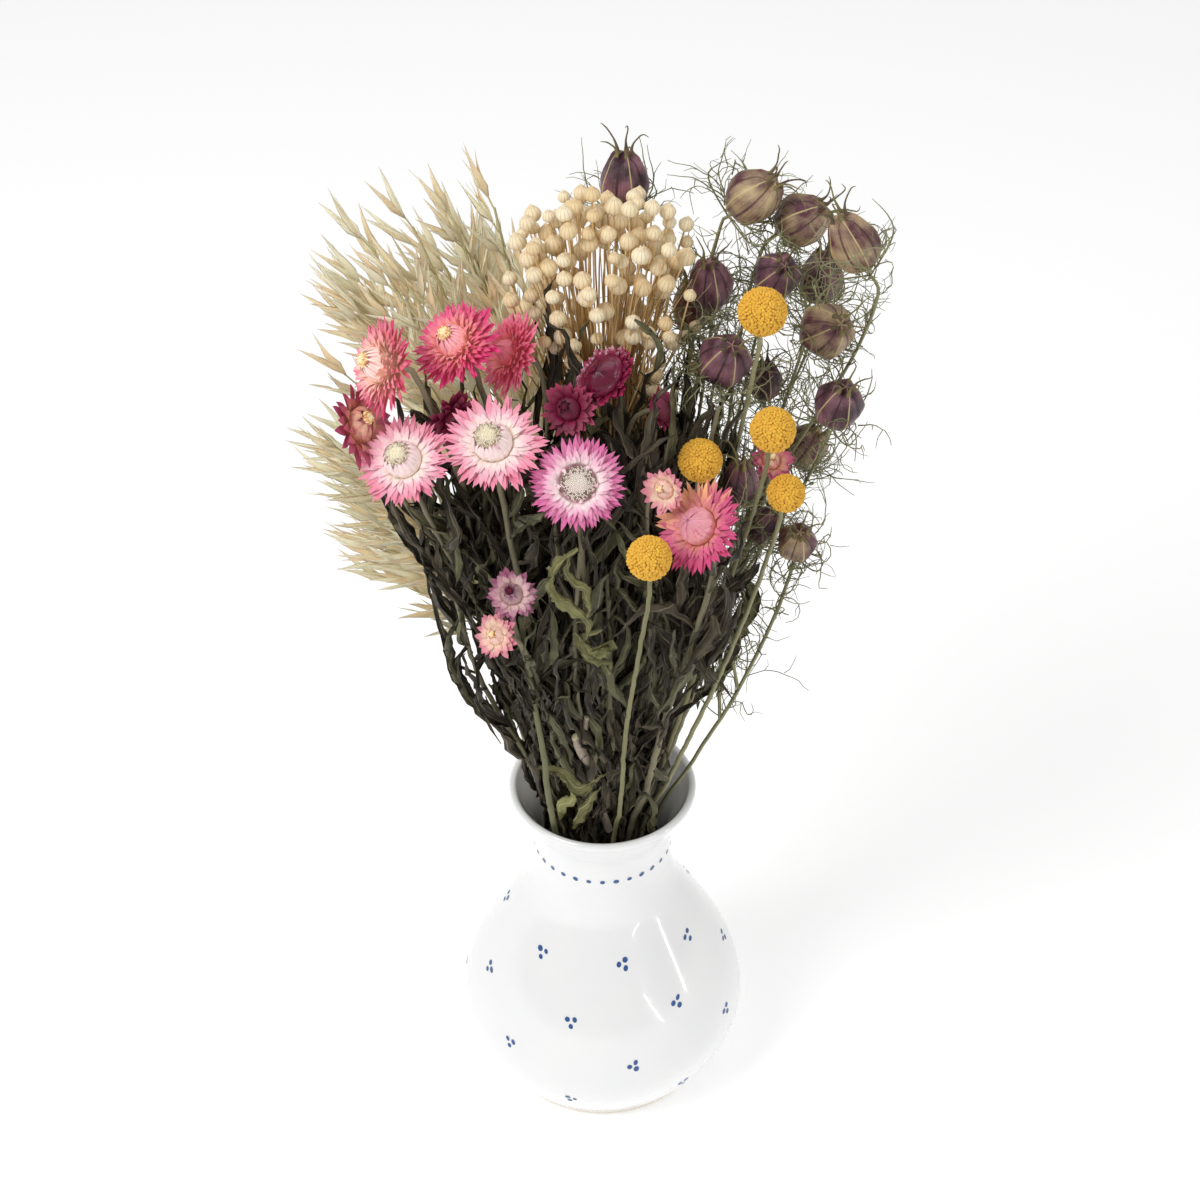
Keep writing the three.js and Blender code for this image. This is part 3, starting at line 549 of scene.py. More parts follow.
# Strawflower heads
# Each dried head is a heart of tiny florets inside up to four hundred stiff, papery, pointed bracts. Inner
# bracts still close over the heart as a dome, and the outer ones stand out flat and curl back at their tips.
# Colours of the closed bracts, and of the foot, the middle and the tip of the open ones.
CORAL = ("#f8b2be", "#fac2aa", "#f07e96", "#d83678")
CRIMSON = ("#ffeadf", "#fde0c8", "#f9a0ae", "#d6346e")
ROSE_RED = ("#f07c98", "#f8aea4", "#f06086", "#f68eaa")
DUSTY_ROSE = ("#e2b296", "#e6ae8c", "#c9657a", "#b84e72")
PALE_PINK = ("#f4dada", "#faeee0", "#f4cad2", "#e4869f")
BRIGHT_PINK = ("#f0ced8", "#f9e9e6", "#ea9ec0", "#d4649c")
BURGUNDY = ("#480522", "#962450", "#62102c", "#9c2850")
PLUM = ("#6e3450", "#e8d0c4", "#d09eac", "#9a5674")
PEACH_PINK = ("#da90a8", "#e8a48c", "#d66e8c", "#cc4a7c")
FADED_PINK = ("#eec2b4", "#f2dcc0", "#eab2a8", "#d57f92")
# The colour of a head's side that has faded in the sun, and how much further out some tips turn dark.
FADED_SIDE = {PEACH_PINK: "#f2b87e"}
LATE_TIPS = {CRIMSON: 0.13, CORAL: 0.05}

# How a head has opened. Closed is the share of the bracts that is closed. The widths of the dome and of the
# floret disc, and where the tips of the first open bracts reach, are shares of the head's radius.
FULL = {
    "Bracts": 370, "Closed": 0.26, "Dome": 0.32, "Disc": 0.15, "Reach": 0.42, "Closed Width": 0.9,
    "Bract Width": 1.1, "First Height": 0.8, "Tall": 1.35, "Core": 0.93}
COVERED = {**FULL, "Bracts": 300, "Disc": 0.0, "Dome": 0.26, "Reach": 0.5, "Bract Width": 1.3}
DOMED = {
    "Bracts": 300, "Closed": 0.26, "Dome": 0.36, "Disc": 0.25, "Reach": 0.56, "Closed Width": 1.0,
    "Bract Width": 1.2, "First Height": 0.4, "Tall": 1.05, "Core": 0.92}
FOLDED = {**DOMED, "Disc": 0.0, "Closed": 0.34, "Closed Width": 1.1}
FLAT = {
    "Bracts": 280, "Closed": 0.02, "Dome": 0.4, "Disc": 0.36, "Reach": 0.6, "Closed Width": 1.0,
    "Bract Width": 1.12, "First Height": 0.7, "Tall": 1.0, "Core": 0.9}
STARRY = {
    "Bracts": 64, "Closed": 0.3, "Dome": 0.36, "Disc": 0.14, "Reach": 0.66, "Closed Width": 1.6,
    "Bract Width": 2.0, "First Height": 0.7, "Tall": 1.25, "Core": 0.9}
GLOSSY = {
    "Bracts": 130, "Closed": 0.26, "Dome": 0.64, "Disc": 0.0, "Reach": 0.8, "Closed Width": 1.5,
    "Bract Width": 2.2, "First Height": 0.55, "Tall": 1.1, "Core": 0.96}
CLOSED = {
    "Bracts": 60, "Closed": 0.55, "Dome": 0.6, "Disc": 0.0, "Reach": 0.8, "Closed Width": 1.5,
    "Bract Width": 2.4, "First Height": 0.6, "Tall": 1.2, "Core": 0.9}

# The place where a head sits on its stem, the way it looks, its width, how open it is, and the rest.
STRAWFLOWERS = {
    "coralLeft": ((-84, -34, 444), -152, 24, 42, 0.62, FULL, CRIMSON),
    "coralMiddle": ((-57, -19, 442), -138, 52, 40, 0.62, FULL, CORAL),
    "coralRight": ((-34, -4, 428), -160, 32, 38, 0.7, COVERED, ROSE_RED),
    "dustyEdge": ((-103, -42, 419), 165, 30, 31, 0.6, STARRY, DUSTY_ROSE),
    "paleLeft": ((-80, -56, 411), -118, 58, 40, 0.8, DOMED, PALE_PINK),
    "paleMiddle": ((-44, -56, 420), -98, 60, 43, 0.85, DOMED, PALE_PINK),
    "brightFront": ((-10, -66, 409), -90, 40, 39, 1, FLAT, BRIGHT_PINK),
    "glossyBud": ((3, -22, 428), -128, 50, 31, 0.3, GLOSSY, BURGUNDY),
    "darkSmall": ((-13, -33, 422), -104, 36, 25, 0.7, STARRY, BURGUNDY),
    "darkBud": ((21, -25, 416), -20, 24, 19, 0.2, CLOSED, BURGUNDY),
    "pinkRight": ((42, -70, 388), -140, 44, 41, 0.65, FOLDED, PEACH_PINK),
    "paleSmall": ((-38, -68, 351), -84, 50, 23, 0.75, STARRY, PLUM),
    "tinyLow": ((-44, -63, 325), -150, 16, 17, 0.8, STARRY, FADED_PINK),
    "pinkBud": ((27, -60, 402), -35, 25, 12, 0.1, STARRY, FADED_PINK),
    "dustyBud": ((71, -10, 377), -90, 62, 15, 0.25, STARRY, DUSTY_ROSE),
    "darkBehind": ((-62, -26, 414), -70, 5, 27, 0.6, STARRY, BURGUNDY),
}
GOLDEN_ANGLE = math.pi * (3 - math.sqrt(5))
BRACT_RINGS = 6
BRACT_THICKNESS = 0.12
BRACT_REACH = 0.52
BRACT_HALF_WIDTH = 0.42
WIDTH_PER_RADIUS = 0.027
SHUT_HEIGHT = 0.47
HEIGHT_LOST_OPEN = 0.28
RIM_FOOT = 0.6
SHUT_RIM_HEIGHT = 0.5
RIM_LOST_OPEN = 0.42
HEART_LEAN = Vector((-0.62, 0, 0.78))
LEAN_SHARE = 0.16


def direction(azimuth, elevation):
    """The direction of an azimuth from +X and an elevation above the horizon, in degrees."""
    a, e = math.radians(azimuth), math.radians(elevation)
    return Vector((math.cos(a) * math.cos(e), math.sin(a) * math.cos(e), math.sin(e)))


def turned_up_to(facing):
    """Turns a piece that was made standing up to the way that it faces."""
    return Vector((0, 0, 1)).rotation_difference(facing).to_matrix().to_4x4()


def position(tree):
    """The x, y and z of a mesh's points."""
    spot = add_node(tree, "ShaderNodeSeparateXYZ", Vector=tree.nodes.new("GeometryNodeInputPosition"))
    return [Field(tree, s) for s in spot.outputs]


def bract_blank():
    """A bract before it is bent: a thin pointed tube, with x across it, y along it and z through it."""
    section = [(-1, 0), (0, 1), (1, 0), (0, -1)]
    places = [(x, k / BRACT_RINGS, z) for k in range(BRACT_RINGS) for x, z in section]
    tip, top = len(places), len(places) - 4
    places.append((0, 1, 0))
    faces = [(3, 2, 1, 0)]
    for j in range(4):
        after = (j + 1) % 4
        for k in range(0, top, 4):
            faces.append((k + j, k + after, k + 4 + after, k + 4 + j))
        faces.append((top + j, top + after, tip))
    mesh = bpy.data.meshes.new("bract")
    mesh.from_pydata(places, [], faces)
    for edge in mesh.edges:
        edge.use_edge_sharp = all(abs(places[i][0]) == 1 or i == tip for i in edge.vertices)
    return mesh


def bend(along, base, middle, tip):
    """One coordinate of a curve from base to tip, drawn towards its middle, and how fast it changes."""
    left = 1.0 - along
    place = left * left * base + 2.0 * left * along * middle + along * along * tip
    return place, 2.0 * left * (middle - base) + 2.0 * along * (tip - middle)


def head_tree(bract_skin, floret_skin):
    """Bracts in a spiral, the closed ones over the heart and the open ones outwards, with florets between."""
    tree, given = growth(
        "strawflower_head", "Bracts", "Closed", "Radius", "Height", "Rim Height", "Dome", "Disc", "Reach",
        "Half Width", "Closed Width", "First Height", "Core", "Lean X", "Lean Y", "Seed")
    radius, height, dome, disc, closed, seed = (
        given[name] for name in ("Radius", "Height", "Dome", "Disc", "Closed", "Seed"))
    index = index_of(tree)
    dots = add_node(tree, "GeometryNodePoints", Count=given["Bracts"])
    copies = keep(tree, copies_on(tree, dots, given["Mesh"], turned=False), "bract", index, "INSTANCE")
    bracts = add_node(tree, "GeometryNodeRealizeInstances", Geometry=copies)
    across, along, through = position(tree)
    number = named(tree, "bract")
    order = number / given["Bracts"]
    is_open = order.step(closed)
    tone = chance(tree, number, seed + 5.0)
    for name, value in zip(("along", "side", "order", "open", "tone"), (along, across, order, is_open, tone)):
        bracts = keep(tree, bracts, name, value)
    outward = ((order - closed) / (1.0 - closed)).limited()
    inward = (order / closed).limited()
    uneven, lift, skew = (chance(tree, number, seed + k) for k in (1.0, 2.0, 3.0))

    # Where each bract goes: r outwards and z upwards, along its length, and how fast both change there.
    reach = radius * given["Reach"].to(1.0, outward ** 0.8) * (0.92 + uneven * 0.14)
    tip_z = (height * given["First Height"]).to(given["Rim Height"], outward) + radius * (lift - 0.5) * 0.12
    open_r = bend(along, dome * (1.02 - outward * 0.5), reach * 0.62, reach)
    open_z = bend(along, 2.4 - outward * 2.0, tip_z * 0.8 + radius * 0.1 * (1.1 - outward), tip_z)
    top_r = disc.to(dome * 0.86, inward) * (0.85 + uneven * 0.15)
    top_z = height * (1.0 - inward * 0.42) * (0.97 + lift * 0.06)
    dome_r = bend(along, dome * 0.93, dome * 1.16, top_r)
    dome_z = bend(along, height * 0.16, height * 0.8, top_z)
    r, dr = (a.to(b, is_open) for a, b in zip(dome_r, open_r))
    z, dz = (a.to(b, is_open) for a, b in zip(dome_z, open_z))

    # Its width, its thickness and its hollow across, and its turn about the head.
    width = given["Half Width"] * (0.8 + uneven * 0.4) * (0.55 + along * 1.3) * (1.0 - along ** 2.9)
    width = width * given["Closed Width"].to(1.0, is_open)
    out = through * BRACT_THICKNESS * (1.3 - along) + across * across * width * 0.16
    length = (dr * dr + dz * dz) ** 0.5
    r = r - dz / length * out
    z = z + dr / length * out
    angle = number * GOLDEN_ANGLE + (skew - 0.5) * along * 0.3
    shift = across * width
    rise = (z / height).limited()
    lean = rise * rise * (1.0 - is_open)
    x = r * angle.cos() + shift * angle.sin() + given["Lean X"] * lean
    y = r * angle.sin() - shift * angle.cos() + given["Lean Y"] * lean
    sunny = (x * given["Lean X"] + y * given["Lean Y"]) / (radius * radius * LEAN_SHARE)
    bent = add_node(
        tree, "GeometryNodeSetPosition", Geometry=keep(tree, bracts, "sunny", sunny),
        Position=vector(tree, x, y, z))

    # The florets stand packed in the heart, over a smooth core that closes it.
    core = add_node(tree, "GeometryNodeMeshUVSphere", Segments=20, Rings=10, Radius=1.0)
    core = keep(tree, core, "along", 0.6 + through * 0.35)
    core = keep(tree, core, "side", along.math("ARCTAN2", across) * 2.5)
    core_radius = dome * given["Core"]
    core = add_node(
        tree, "GeometryNodeTransform", Geometry=core,
        Translation=vector(tree, given["Lean X"] * 0.25, given["Lean Y"] * 0.25, height * 0.46),
        Scale=vector(tree, core_radius, core_radius, height * given["Core"] * 0.48))
    floret = add_node(tree, "GeometryNodeMeshCone", Vertices=5, Radius_Top=0.2, Radius_Bottom=0.36, Depth=1.0)
    floret_count = disc * disc * 7.0 + disc.step(0.01) * 24.0
    share = (index / floret_count) ** 0.5
    turn = index * GOLDEN_ANGLE
    wide = disc * 0.98
    florets_at = vector(
        tree, share * wide * turn.cos() + given["Lean X"], share * wide * turn.sin() + given["Lean Y"],
        height - 0.4 - share * share * disc * 0.42 + chance(tree, index, 6.0) * 0.5)
    places = add_node(tree, "GeometryNodePoints", Count=floret_count, Position=florets_at)
    tall = vector(tree, 1.0, 1.0, 0.9 + chance(tree, index, 7.0) * 0.8)
    florets = keep(tree, copies_on(tree, places, floret, tall, turned=False), "ring", share, "INSTANCE")
    florets = keep(tree, florets, "tone", chance(tree, index, 8.0), "INSTANCE")
    hearts = clad_copies(tree, florets, floret_skin)
    end_growth(tree, clad(tree, bent, bract_skin), clad(tree, core, bract_skin), hearts)
    return tree


def painted_value(tree, name):
    """A value that a piece's points carry, read by its material."""
    return Field(tree, add_node(tree, "ShaderNodeAttribute", {"attribute_name": name}).outputs["Fac"])


def painted_glow(tree, shader, skin, strength):
    """A painted glow: the skin's own colour given off as light, in place of the light that comes through
    something thin and papery.
    """
    feed(tree, shader.inputs["Emission Color"], skin)
    shader.inputs["Emission Strength"].default_value = strength


def ramp(value, low, high):
    """0 at one value and 1 at another."""
    return ((value - low) / (high - low)).limited()


PAPERY_ROUGHNESS = 0.45
GLOSSY_ROUGHNESS = 0.08
GLOSSY_WIDTH = 0.74
GLOSSY_AXIS = Vector((0.7, 0.45, 0.54))


def bract_skin(name, palette, gloss, faded=None, late=0.0):
    """Dry, papery and lightly streaked along the bract, and pale at the foot of an open one."""
    closed, foot, middle, tip = palette
    material, tree, shader, _ = surface(name)
    along, order, tone, side = (painted_value(tree, n) for n in ("along", "order", "tone", "side"))
    ripe = along * 0.6 + order * 0.45 + (tone - 0.5) * 0.16
    ripe = ramp(ripe, 0.26 + late, 0.7 + late)
    edge = along * 0.6 + order * 0.62 + (tone - 0.5) * 0.2 + side * side * 0.06
    edge = ramp(edge, 0.64 + late, 1.06 + late)
    skin = blend_colours(tree, edge, blend_colours(tree, ripe, foot, middle), tip)
    shut = blend_colours(tree, (along * 0.8 + tone * 0.3).limited(), foot, closed)
    # Painted shade: each closed bract turns to the deeper middle colour towards its borders, where the bracts
    # overlap, and so does most of the core beneath them.
    shut = blend_colours(tree, ramp(side.math("ABSOLUTE"), 0.3, 1.0) * 0.75, shut, middle)
    is_open = painted_value(tree, "open")
    skin = blend_colours(tree, is_open, shut, skin)
    if faded:
        pale = ramp(painted_value(tree, "sunny") + (tone - 0.5) * 0.3, 0.1, 0.42) * is_open
        skin = blend_colours(tree, pale * (0.75 + along * 0.25), skin, faded)
    grain = noise(tree, vector(tree, side * 3.2 + tone * 60.0, along * 1.3, tone * 17.0), 1)
    lit = scaled(tree, skin, 0.66 + grain * 0.68 + (tone - 0.5) * 0.16)
    dress(tree, shader, lit, gloss + grain * 0.2, grain, depth=0.12)
    # A faint painted glow, in place of the light that comes through the thin bracts.
    painted_glow(tree, shader, lit, 0.0 if gloss == GLOSSY_ROUGHNESS else 0.03)
    return material


def floret_skin(name, middle, rim, withered):
    """Pale in the middle of the heart, with withered florets between the others towards the rim."""
    material, tree, shader, where = surface(name)
    ring, tone = painted_value(tree, "ring"), painted_value(tree, "tone")
    speck = noise(tree, where, 0.6, 2.0)
    dusty = blend_colours(tree, ramp(ring, 0.35, 0.6), middle, rim)
    brown = ramp(ring, 0.5, 0.62) * ramp(tone + (ring - 0.9) * 0.7, 0.45, 0.6)
    skin = blend_colours(tree, brown, dusty, withered)
    dress(tree, shader, skin, 0.8 + speck * 0.15, speck, depth=0.08)
    # A painted glow, in place of the light that comes through the florets.
    painted_glow(tree, shader, skin, 0.12)
    return material


GREY_FLORETS = floret_skin("grey_florets", "#fffaf0", "#f8f4ea", "#94806a")
SILVER_FLORETS = floret_skin("silver_florets", "#fbf4dc", "#f0e8d4", "#b7a78a")
GOLDEN_TUFT = floret_skin("golden_tuft", "#fdeec8", "#fae0ae", "#d39a5c")
DARK_TUFT = floret_skin("dark_tuft", "#7c2440", "#5c1230", "#360a1a")
FLORETS = {PALE_PINK: SILVER_FLORETS, BRIGHT_PINK: GREY_FLORETS, BURGUNDY: DARK_TUFT, PLUM: DARK_TUFT}
# Some heads have turned aside and spread wider as they dried: the way each looks, and how much wider.
TURNED_ASIDE = {
    "dustyEdge": (-20, 30, 1.25),
    "tinyLow": (-125, 30, 1.25),
    "pinkBud": (-120, 20, 1.7),
    "dustyBud": (-60, 50, 1.4),
}
for i, (key, (at, azimuth, elevation, spread, openness, habit, palette)) in enumerate(STRAWFLOWERS.items()):
    azimuth, elevation, wider = TURNED_ASIDE.get(key, (azimuth, elevation, 1))
    facing = direction(azimuth, elevation)
    turn = turned_up_to(facing)
    lean = turn.transposed() @ HEART_LEAN
    head_radius = spread * BRACT_REACH * wider
    lean_by = 0 if habit is FLAT else head_radius * LEAN_SHARE
    skin = bract_skin(
        f"papery_bracts_{i + 1}", palette, GLOSSY_ROUGHNESS if habit is GLOSSY else PAPERY_ROUGHNESS,
        FADED_SIDE.get(palette), LATE_TIPS.get(palette, 0.0))
    head = grow(
        head_tree(skin, FLORETS.get(palette, GOLDEN_TUFT)), bract_blank(), **{
            **habit, "Radius": head_radius,
            "Height": spread * (SHUT_HEIGHT - HEIGHT_LOST_OPEN * openness) * habit["Tall"],
            "Rim Height": RIM_FOOT + head_radius * (SHUT_RIM_HEIGHT - RIM_LOST_OPEN * openness),
            "Dome": head_radius * habit["Dome"], "Disc": head_radius * habit["Disc"],
            "Half Width": habit["Bract Width"] * (BRACT_HALF_WIDTH + WIDTH_PER_RADIUS * head_radius),
            "Lean X": lean.x * lean_by, "Lean Y": lean.y * lean_by, "Seed": i * 10})
    if habit is GLOSSY:
        turn = Matrix.Scale(GLOSSY_WIDTH, 4, facing.cross(GLOSSY_AXIS).normalized()) @ turn
    finish_piece(
        f"strawflower_head_{i + 1}", head, Matrix.Translation(at) @ turn, [f"strawflower_{i + 1}"])

# Love-in-a-mist pods
# A ripe pod is a papery bladder of five chambers that have grown together. A raised tan line runs up each
# chamber, a dark seam lies between two, and each chamber ends in a thin curled horn.
PODS = {
    "backTop": ((9, 62, 457), 90, 84, 22, 30),
    "tanTop": ((56, 52, 464), -20, 48, 24, 27),
    "dented": ((76, 54, 452), -10, 38, 24, 25),
    "tanRight": ((110, 15, 460), 172, 62, 22, 29),
    "darkUpright": ((46, 31, 430), -100, 78, 20, 28),
    "starTop": ((72, 40, 436), -70, 50, 21, 23),
    "darkBack": ((93, 52, 417), 60, 74, 20, 25),
    "starRight": ((90, 19, 423), -56, 42, 25, 25),
    "crinkled": ((49, 8, 411), -64, 62, 24, 26),
    "narrow": ((70, 21, 389), -90, 80, 15, 22),
    "rightUpright": ((98, 2, 391), -60, 68, 22, 26),
    "inMist": ((85, 25, 351), -10, 62, 20, 22),
    "lowRight": ((83, -22, 338), -80, 64, 18, 20),
    "bottle": ((58, -24, 367), -80, 80, 16, 25),
    "leaning": ((65, -14, 338), -8, 58, 15, 22),
    "brownBack": ((38, 41, 410), 90, 80, 17, 25),
}
TAN_PODS = ("tanTop", "dented", "tanRight", "starRight", "lowRight", "brownBack", "inMist")
CHAMBERS = 5
HORN_GIRTHS = [1.3, 1.15, 0.8, 0.42, 0.32, 0.12]
HORN_LENGTH = 5
HORN_LENGTH_PLAY = 6
HORN_TURN_PLAY = 0.4
HORN_HOOK = 2.5
HORN_HOOK_DROP = 4
THREAD_GIRTH = 0.34


def pod_tree(pod_skin, horn_skin):
    """A bladder with a groove between its chambers, a raised line up each one and creases, with its horns."""
    tree, given = growth("mist_pod", "Width", "Length", "Seed")
    ball = add_node(tree, "GeometryNodeMeshUVSphere", Segments=50, Rings=18, Radius=1.0)
    x, y, z = position(tree)
    angle = y.math("ARCTAN2", x)
    lobe = (angle * (CHAMBERS / 2)).cos().math("ABSOLUTE")
    up = (z + 1.0) * 0.5
    ball = keep(tree, keep(tree, ball, "lobe", lobe), "up", up)
    girth = (1.0 - z * z).math("MAXIMUM", 0.0) ** 0.4 * (1.0 - ramp(up, 0.55, 1.25) * 0.3)
    ridge = ramp(lobe, 0.985, 1.0) * 0.035
    rib = (angle * (CHAMBERS * 2.0)).cos() * 0.012
    crease = noise_at(tree, given["Seed"], 0.35) * 0.1
    swell = given["Width"] * 0.5 * girth * (0.85 + lobe ** 0.6 * 0.12 + ridge + rib + crease - 0.05)
    peak = ramp(up, 0.8, 1.0) * ramp(lobe, 0.5, 1.0) * 0.1
    rise = given["Length"] * (up * 0.94 - ramp(up, 0.9, 1.0) * 0.07 + peak)
    body = add_node(
        tree, "GeometryNodeSetPosition", Geometry=ball,
        Position=vector(tree, angle.cos() * swell, angle.sin() * swell, rise))
    horns = stalks(tree, given["Mesh"], 5, 1.2, 0.2, horn_skin)
    end_growth(tree, clad(tree, body, pod_skin), horns)
    return tree


def noise_at(tree, seed, size):
    """Cloudy variation, about 0 to 1, over the points as they are before they are moved."""
    cloud = add_node(
        tree, "ShaderNodeTexNoise", {"noise_dimensions": "4D"}, W=seed, Scale=1 / size, Detail=2.0,
        Vector=tree.nodes.new("GeometryNodeInputPosition"))
    return Field(tree, cloud.outputs[0])


def smooth_lines(tree, paths, step):
    """Smooth curves along paths, with a point at each step, and how far along each point is."""
    lines = add_node(tree, "GeometryNodeMeshToCurve", Mesh=paths)
    lines = add_node(tree, "GeometryNodeCurveSplineType", {"spline_type": "CATMULL_ROM"}, Curve=lines)
    lines = add_node(tree, "GeometryNodeResampleCurve", {"mode": "LENGTH"}, Curve=lines, Length=step)
    along = Field(tree, tree.nodes.new("GeometryNodeSplineParameter").outputs["Factor"])
    return keep(tree, lines, "along", along), along


def crumpled(tree, shape, coarseness, detail, far):
    """Moves points aside by a cloudy noise, as far as a field says."""
    cloud = add_node(
        tree, "ShaderNodeTexNoise", Vector=tree.nodes.new("GeometryNodeInputPosition"), Scale=coarseness,
        Detail=detail)
    centred = add_node(tree, "ShaderNodeVectorMath", {"operation": "SUBTRACT"})
    tree.links.new(cloud.outputs["Color"], centred.inputs[0])
    centred.inputs[1].default_value = (0.5, 0.5, 0.5)
    return add_node(tree, "GeometryNodeSetPosition", Geometry=shape, Offset=scaled(tree, centred, far))


def stalks(tree, paths, sides, step, wobble, skin):
    """Round stalks along paths whose points carry a girth. The thinnest ones are the most crooked."""
    lines, along = smooth_lines(tree, paths, step)
    thin = 1.0 - named(tree, "girth").step(THREAD_GIRTH)
    lines = crumpled(tree, lines, 0.16, 2.0, (along * 3.0).limited() * (wobble * 2.0 + thin * wobble * 9.0))
    knots = 0.88 + noise_at(tree, 0.0, 2.2) * 0.24
    ring = add_node(tree, "GeometryNodeCurvePrimitiveCircle", Resolution=sides, Radius=1.0)
    tubes = add_node(
        tree, "GeometryNodeCurveToMesh", Curve=lines, Profile_Curve=ring, Scale=named(tree, "girth") * knots,
        Fill_Caps=True)
    return clad(tree, tubes, skin)


class Paths:
    """Paths that stalks or blades follow. Each point has a girth, and each path has a tone."""

    def __init__(self):
        self.points, self.edges, self.girth, self.tone = [], [], [], []

    def add(self, path, girths, tone=0.5):
        first = len(self.points)
        self.points += [Vector(p) for p in path]
        self.edges += [(first + i, first + i + 1) for i in range(len(path) - 1)]
        self.girth += list(np.interp(np.linspace(0, 1, len(path)), np.linspace(0, 1, len(girths)), girths))
        self.tone += [tone] * len(path)

    def mesh(self):
        return point_mesh(self.points, self.edges, girth=self.girth, tone=self.tone)


def pod_skin(name, chamber, line, seam):
    """Thin and papery, with a net of fine veins and paler streaked patches, partly its own colour and partly
    a painted sheen, and tan at the foot and along the raised lines.
    """
    material, tree, shader, where = surface(name)
    lobe, up = painted_value(tree, "lobe"), painted_value(tree, "up")
    cloud = noise(tree, where, 11, 5.0)
    veins = noise(tree, where, 0.9, 3.0, 1.5)
    streak = noise(tree, vector(tree, lobe * 11.0, up * 2.4, cloud * 4.0), 1)
    # The paler streaked patches take the second colour: partly the pod's own paler colour and partly a
    # painted sheen.
    skin = blend_colours(tree, ramp(cloud * 0.9 + streak * 0.26 + veins * 0.1, 0.5, 0.84), chamber, line)
    skin = blend_colours(tree, 1.0 - ramp(up + cloud * 0.2, 0.12, 0.42), skin, "#9a7f58")
    skin = blend_colours(tree, 1.0 - ramp(lobe + veins * 0.1, 0.05, 0.24), skin, seam)
    skin = blend_colours(tree, ramp(lobe + veins * 0.006, 0.984, 0.998), skin, "#c3b47c")
    dress(tree, shader, skin, 0.28 + veins * 0.25, veins * 0.7 + streak * 1.2 + cloud * 0.6, depth=0.3)
    return material


def twig_skin(name, young, old, grain=0.7):
    """Dry bark or straw, streaked and a little uneven in colour."""
    material, tree, shader, where = surface(name)
    streak = noise(tree, where, grain)
    share = (noise(tree, where, 14) * 0.7 + painted_value(tree, "tone") * 0.7 + streak * 0.6 - 0.5).limited()
    dress(tree, shader, blend_colours(tree, share, young, old), 0.62 + streak * 0.3, streak, depth=0.15)
    return material


# The second colour is that of the paler patches. On the purple pod it is partly a painted sheen.
PURPLE_POD = pod_skin("purple_pod", "#361524", "#9c6c78", "#241018")
TAN_POD = pod_skin("tan_pod", "#5c2c3a", "#c4ac84", "#4b2634")
HORN_SKIN = twig_skin("dry_horns", "#4c3a38", "#8d8450")
for i, (key, (at, azimuth, elevation, wide, tall)) in enumerate(PODS.items()):
    seed = len(STRAWFLOWERS) + i
    radius = wide / 2
    horns = Paths()
    for k in range(0, 2 * CHAMBERS, 2):
        length = HORN_LENGTH + HORN_LENGTH_PLAY * draw(seed, k)
        reach = radius * 0.4 + length * (0.2 + 0.5 * draw(seed + 1, k))
        angle = math.pi * k / CHAMBERS
        end = angle + HORN_TURN_PLAY * swing(seed + 2, k)
        hook = end + 0.5 * (draw(seed, k + 1) - 0.3)
        top = 0.95 * tall + length
        corners = [
            (radius * 0.42, angle, 0.84 * tall), (radius * 0.34, angle, 0.93 * tall),
            (radius * 0.3, angle, 0.97 * tall), (0.55 * reach, end, 0.93 * tall + 0.6 * length),
            (reach, end, top), (reach + HORN_HOOK, hook, top + 2 - HORN_HOOK_DROP * draw(seed + 3, k)),
        ]
        path = [(r * math.cos(a), r * math.sin(a), z) for r, a, z in corners]
        horns.add(path, HORN_GIRTHS, draw(seed, k + 5))
    skin = TAN_POD if key in TAN_PODS else PURPLE_POD
    pod = grow(pod_tree(skin, HORN_SKIN), horns.mesh(), Width=wide, Length=tall, Seed=seed)
    finish_piece(
        f"mist_pod_{i + 1}", pod, Matrix.Translation(at) @ turned_up_to(direction(azimuth, elevation)),
        [f"nigella_pod_{i + 1}"])

# Billy buttons
# Hard round heads, each a ball of several hundred tight yellow florets round a firm core. Each head sits on a
# bare stem of its own, and has no petals.
BUTTONS = [
    ((65, -12, 449), -80, 72, 20), ((69, -42, 412), -75, 70, 18.5), ((40, -37, 393), -80, 68, 18),
    ((75, -48, 385), -70, 68, 15.5), ((19, -88, 381), -92, 76, 18),
]
FLORET_SPACING = 1.4
FLORET_CROWDING = 1.15
FLORET_FULLNESS = 0.95


def button_tree(skin):
    """Round buds in a spiral all over a core, none quite in line or as large as the next."""
    tree, given = growth("billy_button", "Radius", "Florets", "Floret Size")
    index = index_of(tree)
    height = 1.0 - (index + 0.5) / given["Florets"] * 2.0
    around = (1.0 - height * height) ** 0.5
    turn = index * GOLDEN_ANGLE + (chance(tree, index, 1.0) - 0.5) * 0.13
    facing = vector(tree, around * turn.cos(), around * turn.sin(), height)
    place = scaled(tree, facing, given["Radius"] * (0.925 + chance(tree, index, 2.0) * 0.03))
    points = add_node(tree, "GeometryNodePoints", Count=given["Florets"], Position=place)
    points = keep(tree, points, "facing", facing, kind="FLOAT_VECTOR")
    bud = add_node(tree, "GeometryNodeMeshUVSphere", Segments=5, Rings=3, Radius=0.72)
    # Each bud keeps its height, so that its skin can paint shade at its foot.
    bud = keep(tree, bud, "up", position(tree)[2] + 0.5)
    size = given["Floret Size"] * (0.8 + chance(tree, index, 3.0) * 0.4)
    florets = copies_on(tree, points, bud, vector(tree, size, size, size))
    florets = keep(tree, florets, "tone", chance(tree, index, 4.0), "INSTANCE")
    core = add_node(tree, "GeometryNodeMeshUVSphere", Segments=24, Rings=12, Radius=given["Radius"] * 0.94)
    end_growth(tree, clad(tree, core, skin), clad_copies(tree, florets, skin))
    return tree


